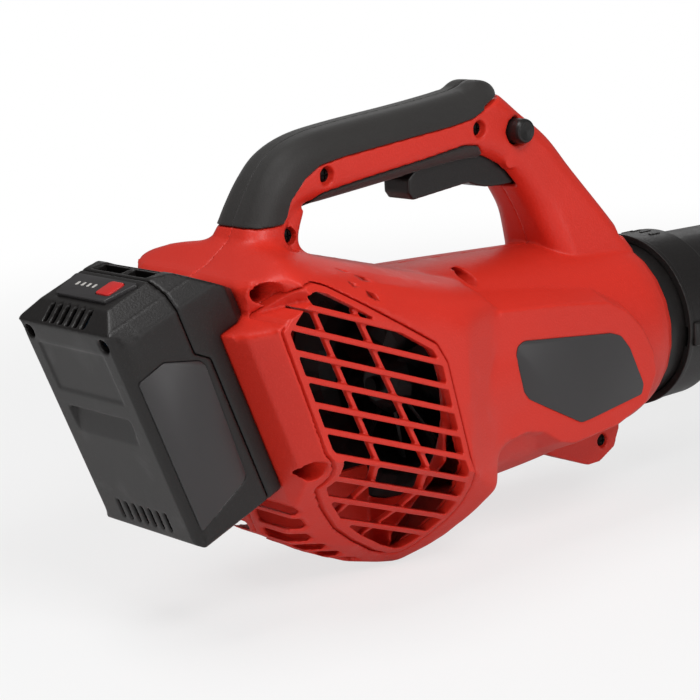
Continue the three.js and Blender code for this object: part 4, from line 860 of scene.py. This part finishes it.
LEG = [  # x and z round the thick front of the handle's rear leg
    (-60, 84), (-61, 94), (-56, 101), (-50, 103), (-47, 103), (-49, 99.5), (-51.5, 94), (-52.8, 88),
    (-51.8, 80), (-47, 71.5), (-40, 65.5), (-46, 60), (-58, 66),
]
WELL = [(SEAT, 0.01), (SEAT, 4.6), (-40, 4.6), (-40, 0.01)]  # along and radius of the leg's screw well


class BLOWER_OT_housing(Operator):
    """Each shell, its rear leg filled out, with the vents and the leg's screw well cut last"""

    bl_idname = "blower.housing"
    bl_label = "Housing shells"

    def execute(self, context):
        pairs = [barrel_pair(), handle_pair(0)]
        for side, s in SIDES.items():
            leg = slab("leg", LEG, *sorted((s * 0.15, s * 16.5)))
            holes = [vent(*place, s) for place in VENTS]
            if side == "right":
                holes.append(turned("well", WELL, "y", SCREWS[2], 0.1, 48))
            piece = moulding(
                f"shell_{side}", f"housing_{side}", sizes().voxel, sizes().rounding, 150000, pairs, True,
                zones=chamber_zones(), holes=holes, more=[leg],
            )
            dress(piece, "housing", "housing_red", f"housing_{side}")
        return {"FINISHED"}


def grille_tools(s):
    """What opens up the grille: a groove round it, the gaps between slats, and the bars' low fronts."""
    low, high = sorted((s * 6.0, s * 76.0))

    def core(depth):
        """All that lies more than depth mm inside the chamber's skin."""
        section = inset_outline(CHAMBER + [(0, 65), (0, -96)], depth)
        return rings_piece("core", [[(x, s * y, z - DROP * x) for y, z in section] for x in (-160, 60)])

    def panel(inset):
        return slab("panel", inset_outline(GRILLE, inset), low, high)

    def strip(line, dx, dz):
        """A bar through the grille, dx or dz mm to either side of a line of x and z."""
        edges = [(x - dx, z - dz) for x, z in line] + [(x + dx, z + dz) for x, z in reversed(line)]
        return slab("strip", edges, low - 2, high + 2)

    def gaps():
        slope, half = math.tan(SLAT_SLOPE), SLAT_THICK / 2 / math.cos(SLAT_SLOPE)
        heights = [SLAT_TOP - SLAT_PITCH * i for i in range(sizes().slats)]
        lines = [[(x, z - (x + 50) * slope) for x in (-130, 40)] for z in heights]
        return cut(panel(RIM), *[strip(line, 0, half) for line in lines])

    bars = [strip(line, BAR_THICK / 2, 0) for line in CROSS_BARS]
    groove = cut(panel(-1), slab("inner", inset_outline(GRILLE, 0.9), low - 2, high + 2))
    return [cut(groove, core(1.5)), cut(gaps(), core(1.7)), cut(gaps(), *bars)]


class BLOWER_OT_grilles(Operator):
    """Each grille, its slats thinned and its cross bars set back"""

    bl_idname = "blower.grilles"
    bl_label = "Grilles"

    def execute(self, context):
        for side, s in SIDES.items():
            node = f"grille_{side}"
            piece = moulding(f"grille_slats_{side}", node, 0.00055, 3, 90000, tools=grille_tools(s))
            dress(piece, "housing", "housing_red", node)
        return {"FINISHED"}


def hump(x, y, z):
    """The front end of the upper grip."""
    return (np.hypot(x - 84, z - 144) < 17) & (z > 139) & (x < 97)


class BLOWER_OT_grips(Operator):
    """The overmoulds, which stand 0.8 mm proud of the handle"""

    bl_idname = "blower.grips"
    bl_label = "Grips"

    def execute(self, context):
        pairs = [handle_pair(-0.8)]
        for name in ("top_grip", "under_grip"):
            for side in SIDES:
                skin_name, node = f"{name}_skin_{side}", f"{name}_{side}"
                piece = moulding(skin_name, node, sizes().fine, 6, 40000, pairs, zones=[(hump, 120)])
                dress(piece, "housing", "grip_rubber", node)
        return {"FINISHED"}


LABEL = [  # x and z round a side plate
    (51, 15), (53, 20), (58, 22), (126, 14), (134, 11), (141, 3), (152, -20), (150, -26), (108, -31.5),
    (100, -32), (60, -11), (56, -6),
]


class BLOWER_OT_labels(Operator):
    """The bare plates in the side pads"""

    bl_idname = "blower.labels"
    bl_label = "Label plates"

    def execute(self, context):
        for side, s in SIDES.items():
            name = f"label_plate_{side}"
            low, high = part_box(name)
            inner, outer = (high.y, low.y) if s < 0 else (low.y, high.y)
            outline = inset_outline(LABEL, 0.5)
            plate = prism(f"plate_{side}", outline, inner / MM, outer / MM, radius=1.6, edge=0.25)
            dress(crisp(plate), "housing", "label_plate", name)
        return {"FINISHED"}


def screw_head(name, axis, centre, seat, out, head_r, shank_r, tip, height, battery=False):
    """A pan head with a cross recess on a plain shank. out is the head's direction along the axis."""
    top = seat + out * height
    rim = seat + out * height * 0.45
    head = [(seat, 0.01), (seat, head_r), (rim, head_r), (top, head_r * 0.55), (top, 0.01)]
    piece = turned(name, head, axis, centre, 0.35, 40, battery)
    wide, thin = head_r * 0.62, 0.42  # half length and half width of the recess's arms
    near, far = sorted((top - out * 1.5, top + out * 1.0))
    arms = []
    for a, b in ((wide, thin), (thin, wide)):
        low, high = [near, centre[0] - a, centre[1] - b], [far, centre[0] + a, centre[1] + b]
        if axis == "y":
            low[:2], high[:2] = low[1::-1], high[1::-1]
        arms.append(block("arm", low, high, battery))
    cut(piece, *arms)
    start = seat + out * 0.3
    shank = [(start, 0.01), (start, shank_r), (tip, shank_r), (tip, 0.01)]
    return crisp(fuse(piece, turned("shank", shank, axis, centre, 0.2, 24, battery)), 30)


class BLOWER_OT_screws(Operator):
    """The screws in the right shell, and the two at the back of the battery"""

    bl_idname = "blower.screws"
    bl_label = "Screws"

    def execute(self, context):
        # The heads take the near-black screw look, painted shade of their deep wells
        for i, centre in enumerate(SCREWS):
            node = f"housing_screw_{i + 1}"
            piece = screw_head(f"screw_{i + 1}", "y", centre, SEAT, -1, 3.55, 1.7, 11, 2.4)
            dress(piece, "housing", "steel", node, look="screw")
        for i, y in enumerate((31, -31)):
            node = f"battery_screw_{i + 1}"
            piece = screw_head(f"pack_screw_{i + 1}", "x", (y, 122), -146.3, -1, 3.1, 1.7, -105, 2.2, True)
            dress(piece, "battery", "steel", node, look="screw")
        return {"FINISHED"}


class BLOWER_OT_trigger(Operator):
    """The trigger lever"""

    bl_idname = "blower.trigger"
    bl_label = "Trigger"

    def execute(self, context):
        piece = moulding("trigger_lever", "trigger", sizes().fine, 9, 30000)
        dress(piece, "trigger", "black_plastic", "trigger")
        return {"FINISHED"}


class BLOWER_OT_lock_button(Operator):
    """The lock button: a dished cap, a collar inside the shell and a stem"""

    bl_idname = "blower.lock_button"
    bl_label = "Lock button"

    def execute(self, context):
        low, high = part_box("lock_button")
        x = (low.x + high.x) / 2 - BELL.x
        z = (low.z + high.z) / 2 - BELL.z
        face, end = (low.y - BELL.y) / MM, (high.y - BELL.y) / MM
        profile = [
            (end, 0.01), (end, 6.8), (-9, 6.8), (-9, 8.6), (-11.5, 8.6), (-11.5, 6.8), (face + 2.2, 6.8),
            (face + 0.5, 6.2), (face, 5.1), (face + 0.35, 4.3), (face + 0.75, 0.01),
        ]
        piece = turned("lock_button_cap", profile, "y", (x / MM, z / MM), 0.5, 96)
        dress(crisp(piece), "lock_button", "black_plastic", "lock_button")
        return {"FINISHED"}


def wedge_block(angle0, angle1, x0, x1, r0, r1):
    """A stretch of ring about the nozzle's line, between two angles."""
    rings, steps = [], 10
    for k in range(steps + 1):
        a = math.radians(angle0 + (angle1 - angle0) * k / steps)
        c, s = math.cos(a), math.sin(a)
        rings.append([(x, r * c, r * s) for x, r in ((x0, r0), (x1, r0), (x1, r1), (x0, r1))])
    return rings_piece("stretch", rings)


BAYONET_ANGLES = [90, 210, 330]
DUCT_R = 46.8  # outside of the outlet duct
BORE = 44.0  # inside of the duct and of the tube where it meets it
GRIP_RIBS = (211, 217, 223, 229, 235)  # x of the ribs on the collar's two grips
DASH_ANGLES = (66, 74, 82, 90, 98)  # degrees round from the left, on top of the collar


class BLOWER_OT_tube(Operator):
    """The blow tube: collar, ribbed grips, dashes and the bayonet's slots"""

    bl_idname = "blower.tube"
    bl_label = "Blow tube"

    def execute(self, context):
        bore = DUCT_R + 0.3
        outer = bore + 3.2
        profile = [
            (203, bore), (227, bore), (228.5, BORE), (TUBE_END, 33.6), (TUBE_END, 36.0),
            (TUBE_END - 1, 36.0), (300, 44.87), (240, 46.35), (238, 46.6), (233, outer), (208.2, outer),
            (207.0, outer + 0.1), (206.2, outer + 0.9), (203.2, outer + 0.9), (203, outer + 0.5),
        ]
        tube = turned("tube", profile, radius=0.7)
        blocks = []
        for s in SIDES.values():
            y = sorted((s * 47.6, s * 52.9))
            blocks.append(soften(block("grip", (206, y[0], -10), (240, y[1], 4)), 1.2))
            for x in GRIP_RIBS:
                rib_y = sorted((s * 52.4, s * 53.0))
                blocks.append(block("rib", (x - 0.9, rib_y[0], -8.4), (x + 0.9, rib_y[1], 2.4)))
        marks = [wedge_block(a, a + 2.4, 219, 227, outer - 0.5, outer + 0.45) for a in DASH_ANGLES]
        fuse(tube, *blocks, *marks)
        cuts = []
        for a in BAYONET_ANGLES:
            cuts.append(wedge_block(a - 32, a + 7, 211.7, 216.3, bore - 1, 49.3))
            cuts.append(wedge_block(a - 32, a - 18, 201, 213, bore - 1, 49.3))
        cut(tube, *cuts)
        dress(crisp(tube, 28), "tube", "black_plastic", "blow_tube")
        return {"FINISHED"}


class BLOWER_OT_duct(Operator):
    """The outlet duct with the three lugs that the tube turns onto"""

    bl_idname = "blower.duct"
    bl_label = "Outlet duct"

    def execute(self, context):
        profile = [
            (100, DUCT_R), (110.3, DUCT_R), (110.3, BORE), (225, BORE), (225, DUCT_R), (129.7, DUCT_R),
            (129.7, 49.3), (126.7, 49.3), (126.7, DUCT_R), (115, DUCT_R), (100, 49.6),
        ]
        duct = turned("duct", profile, radius=0.3)
        lugs = [wedge_block(a - 6, a + 6, 212, 216, DUCT_R - 1, 48.95) for a in BAYONET_ANGLES]
        fuse(duct, *lugs)
        dress(crisp(duct, 28), "housing", "black_plastic", "outlet_duct")
        return {"FINISHED"}


def pack_corner(x, y, z):
    """The upright edges at the back of the battery."""
    along, up = battery_axes(x, z)
    return (along < -139) & (np.abs(y) > 35.4) & (up > 12) & (up < 127)


class BLOWER_OT_battery(Operator):
    """The battery's two case halves and its latch"""

    bl_idname = "blower.battery"
    bl_label = "Battery"

    def execute(self, context):
        for node, zones in (("battery_case_rear", [(pack_corner, 110)]), ("battery_case_front", [])):
            piece = moulding(f"{node}_shell", node, 0.0008, 6, 90000, zones=zones)
            dress(piece, "battery", "black_plastic", node)
        piece = moulding("latch_tab", "latch_button", 0.0005, 6, 20000)
        dress(piece, "latch", "black_plastic", "latch_button")
        return {"FINISHED"}


SIDE_PANEL = [  # along and up the battery's leaning axes
    (-148.5, 101.5), (-131.8, 103), (-113.4, 92.8), (-111.2, 89), (-113.6, 28), (-116, 25.5), (-148.5, 17),
]
GAUGE = [(-137, 20.5), (-119, 26), (-119, -26), (-137, -20.5)]  # along and across
GAUGE_TOP = 136.2
GAUGE_BUTTON = (-127, -13)
CHARGE_LIGHTS = [13.5 - i * 4.6 for i in range(4)]  # y of each


class BLOWER_OT_plates(Operator):
    """The battery's bare side plates, and the charge panel with its button and four lights"""

    bl_idname = "blower.plates"
    bl_label = "Battery plates"

    def execute(self, context):
        for side, s in SIDES.items():
            outline = inset_outline(SIDE_PANEL, 0.4)
            plate = prism(f"battery_plate_{side}", outline, s * 40.0, s * 41.0, True, "y", 1.6, 0.25)
            dress(crisp(plate), "battery", "label_plate", f"battery_panel_{side}")
        top = GAUGE_TOP
        panel = prism("charge_panel", inset_outline(GAUGE, 0.3), 134.3, top, True, "z", 2.2, 0.4)
        cut(panel, prism("hole", rectangle(GAUGE_BUTTON, 5.9, 5.9), 133, 138, True, "z", 2.4, 0.0))
        dress(crisp(panel), "battery", "label_plate", "gauge_panel")
        outline = rectangle(GAUGE_BUTTON, 5.5, 5.5)
        cap = prism("charge_button", outline, top - 0.9, top + 0.7, True, "z", 2.2, 0.5)
        stem = [(130, 0.01), (130, 4.1), (top - 0.4, 4.1), (top - 0.4, 0.01)]
        fuse(cap, turned("stem", stem, "z", GAUGE_BUTTON, 0.2, 48, battery=True))
        dress(crisp(cap), "gauge_button", "button_red", "gauge_button")
        for i, y in enumerate(CHARGE_LIGHTS):
            outline = rectangle((GAUGE_BUTTON[0], y), 1.5, 0.9)
            light = prism(f"charge_light_{i + 1}", outline, top - 0.3, top + 0.12, True, "z", 0.5, 0.1)
            dress(crisp(light), "battery", "label_plate", look="window")
        return {"FINISHED"}


INNER = {  # the slot of each node that keeps its CAD shape
    "battery_receiver": "black_plastic", "controller_tray": "black_plastic", "tail_cone": "black_plastic",
    "switch_module": "black_plastic", "motor_end_cap": "black_plastic",
    "fan_shroud": "fan_plastic", "fan_rotor": "fan_plastic",
    "fan_screw": "steel", "motor_rotor": "steel", "bearing_front": "steel", "bearing_rear": "steel",
    "trigger_pin": "steel", "trigger_spring": "steel", "lock_button_spring": "steel",
    "latch_spring": "steel", "heat_sink": "aluminium", "cell_pack": "cell_sleeve",
    "motor_stator": "copper", "contact_blade_right": "copper", "contact_blade_left": "copper",
    "battery_terminals": "copper", "controller_board": "circuit_board", "battery_board": "circuit_board",
}


class BLOWER_OT_inner(Operator):
    """The CAD's own solids inside the machine keep their shape and get real finishes"""

    bl_idname = "blower.inner"
    bl_label = "Inner parts"

    def execute(self, context):
        for node, slot in INNER.items():
            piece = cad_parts[node]
            piece.data.materials.clear()
            # The fan's screw also takes the screws' near-black painted shade
            piece.data.materials.append(finish("screw" if node == "fan_screw" else slot))
        return {"FINISHED"}


# ---------------------------------------------------------------- stage
CAMERA = (-703.42, -806.07, 256.72)  # mm from the bell mouth
CAMERA_AXES = (  # to the right in the picture, down in it, and into it
    (0.7499297, -0.6594081, -0.0527868),
    (-0.1815374, -0.1284107, -0.9749640),
    (0.6361208, 0.7407373, -0.2160062),
)
STUDIO_LIGHT = 0.18  # strength of the plain light from all round
FLOOR_HALF, FLOOR_DROP = 9, 0.0004  # metres
LAMPS = {  # place in metres, width and height, share of the key light's power
    "key": ((-0.6, -1.35, 1.4), (0.8, 0.7), 1.05),
    "fill": ((0.5, -1.8, 0.5), (0.9, 0.8), 0.30),
    "back": ((1.3, 1.5, 0.95), (1.2, 0.6), 0.16),
    "top": ((-0.75, 0.15, 1.7), (0.9, 0.6), 0.72),
    "rear": ((-1.7, -0.75, 0.35), (0.5, 0.8), 0.26),
}


class BLOWER_OT_stage(Operator):
    """Floor, softboxes and the camera at the photo's angle"""

    bl_idname = "blower.stage"
    bl_label = "Stage"

    def execute(self, context):
        scene, stage = context.scene, context.scene.blower_stage
        scene.view_settings.view_transform = "Standard"
        scene.world = studio_light()

        corners = [(x, y, -FLOOR_DROP) for x, y in rectangle((0, 0), FLOOR_HALF, FLOOR_HALF)]
        floor = add("floor", mesh_of("floor", corners, [(0, 1, 2, 3)]))
        floor.data.materials.append(floor_finish(stage))

        centre = (CAD_BOX[0] + CAD_BOX[1]) / 2
        aim = Vector((centre.x - 0.22, 0, 0.12))
        for name, (place, size, share) in LAMPS.items():
            lamp = bpy.data.lights.new(name, "AREA")
            lamp.shape, lamp.size, lamp.size_y, lamp.energy = "RECTANGLE", *size, stage.key * share
            holder = add(name, lamp)
            holder.location = place
            holder.rotation_euler = (aim - Vector(place)).to_track_quat("-Z", "Y").to_euler()

        lens = bpy.data.cameras.new("camera")
        lens.lens, lens.sensor_width, lens.clip_start, lens.clip_end = stage.lens, 36.0, 0.05, 60
        camera = add("camera", lens)
        right, down, ahead = (Vector(r) for r in CAMERA_AXES)
        turn = Matrix((right, -down, -ahead)).transposed()
        camera.matrix_world = Matrix.Translation(Vector(metres(CAMERA))) @ turn.to_4x4()
        scene.camera = camera
        return {"FINISHED"}


def studio_light():
    """A world that lights the blower plainly and shows white behind it."""
    world = bpy.data.worlds.new("studio")
    world.use_nodes = True
    studio = Nodes(world.node_tree)
    studio.tree.nodes.clear()
    path = studio.node("ShaderNodeLightPath").outputs
    rays = {0: path["Is Camera Ray"], 1: path["Is Transmission Ray"]}
    seen = studio.node("ShaderNodeMath", {"operation": "MAXIMUM"}, rays)
    plain, white = (
        studio.node("ShaderNodeBackground", None, {"Color": (1, 1, 1, 1), "Strength": strength})
        for strength in (STUDIO_LIGHT, 1.0)
    )
    sockets = {0: seen.outputs[0], 1: plain.outputs[0], 2: white.outputs[0]}
    both = studio.node("ShaderNodeMixShader", None, sockets)
    studio.node("ShaderNodeOutputWorld", None, {0: both.outputs[0]})
    return world


def floor_finish(stage):
    """Pale floor that keeps the shadow near the blower and runs out to white."""
    f = Finish("pale floor", Roughness=0.9, Specular_IOR_Level=0.1)
    base = f.mixed(f.noise(1.5, 2), rgba(stage.floor, 0.99), rgba(stage.floor, 1.01))
    f.drive(Base_Color=base)
    path = f.node("ShaderNodeLightPath").outputs
    centre = (CAD_BOX[0] + CAD_BOX[1]) / 2
    ends = {0: f.where, 1: (centre.x, centre.y, 0)}
    reach = f.node("ShaderNodeVectorMath", {"operation": "DISTANCE"}, ends)
    far = Value(f, reach.outputs["Value"]).above(0.75, 0.7) * 0.3 + 0.7
    white = f.node("ShaderNodeEmission", None, {"Color": (1, 1, 1, 1), "Strength": 1.0})
    sockets = {0: far * Value(f, path["Is Camera Ray"]), 1: f.shader.outputs[0], 2: white.outputs[0]}
    both = f.node("ShaderNodeMixShader", None, sockets)
    f.tree.links.new(both.outputs[0], f.tree.nodes["Material Output"].inputs[0])
    return f.material


# ---------------------------------------------------------------- operators
OPERATORS = [
    BLOWER_OT_stage, BLOWER_OT_housing, BLOWER_OT_grilles, BLOWER_OT_grips, BLOWER_OT_labels,
    BLOWER_OT_screws, BLOWER_OT_trigger, BLOWER_OT_lock_button, BLOWER_OT_tube, BLOWER_OT_duct,
    BLOWER_OT_battery, BLOWER_OT_plates, BLOWER_OT_inner,
]


class BLOWER_PT_panel(Panel):
    """Lists the blower's settings and the steps that build it."""

    bl_label = "Leaf blower"
    bl_space_type = "VIEW_3D"
    bl_region_type = "UI"
    bl_category = "Blower"

    def draw(self, context):
        for step in OPERATORS:
            self.layout.operator(step.bl_idname)
        for group in (context.scene.blower_colours, context.scene.blower_sizes, context.scene.blower_stage):
            for name in group.__annotations__:
                self.layout.prop(group, name)


CLASSES = [BlowerColours, BlowerSizes, BlowerStage, *OPERATORS, BLOWER_PT_panel]


def register():
    for item in CLASSES:
        bpy.utils.register_class(item)
    bpy.types.Scene.blower_colours = PointerProperty(type=BlowerColours)
    bpy.types.Scene.blower_sizes = PointerProperty(type=BlowerSizes)
    bpy.types.Scene.blower_stage = PointerProperty(type=BlowerStage)


def unregister():
    del bpy.types.Scene.blower_stage, bpy.types.Scene.blower_sizes, bpy.types.Scene.blower_colours
    for item in reversed(CLASSES):
        bpy.utils.unregister_class(item)


def main():
    register()
    for step in OPERATORS:
        getattr(bpy.ops.blower, step.bl_idname.split(".")[1])()


if __name__ == "__main__":
    main()
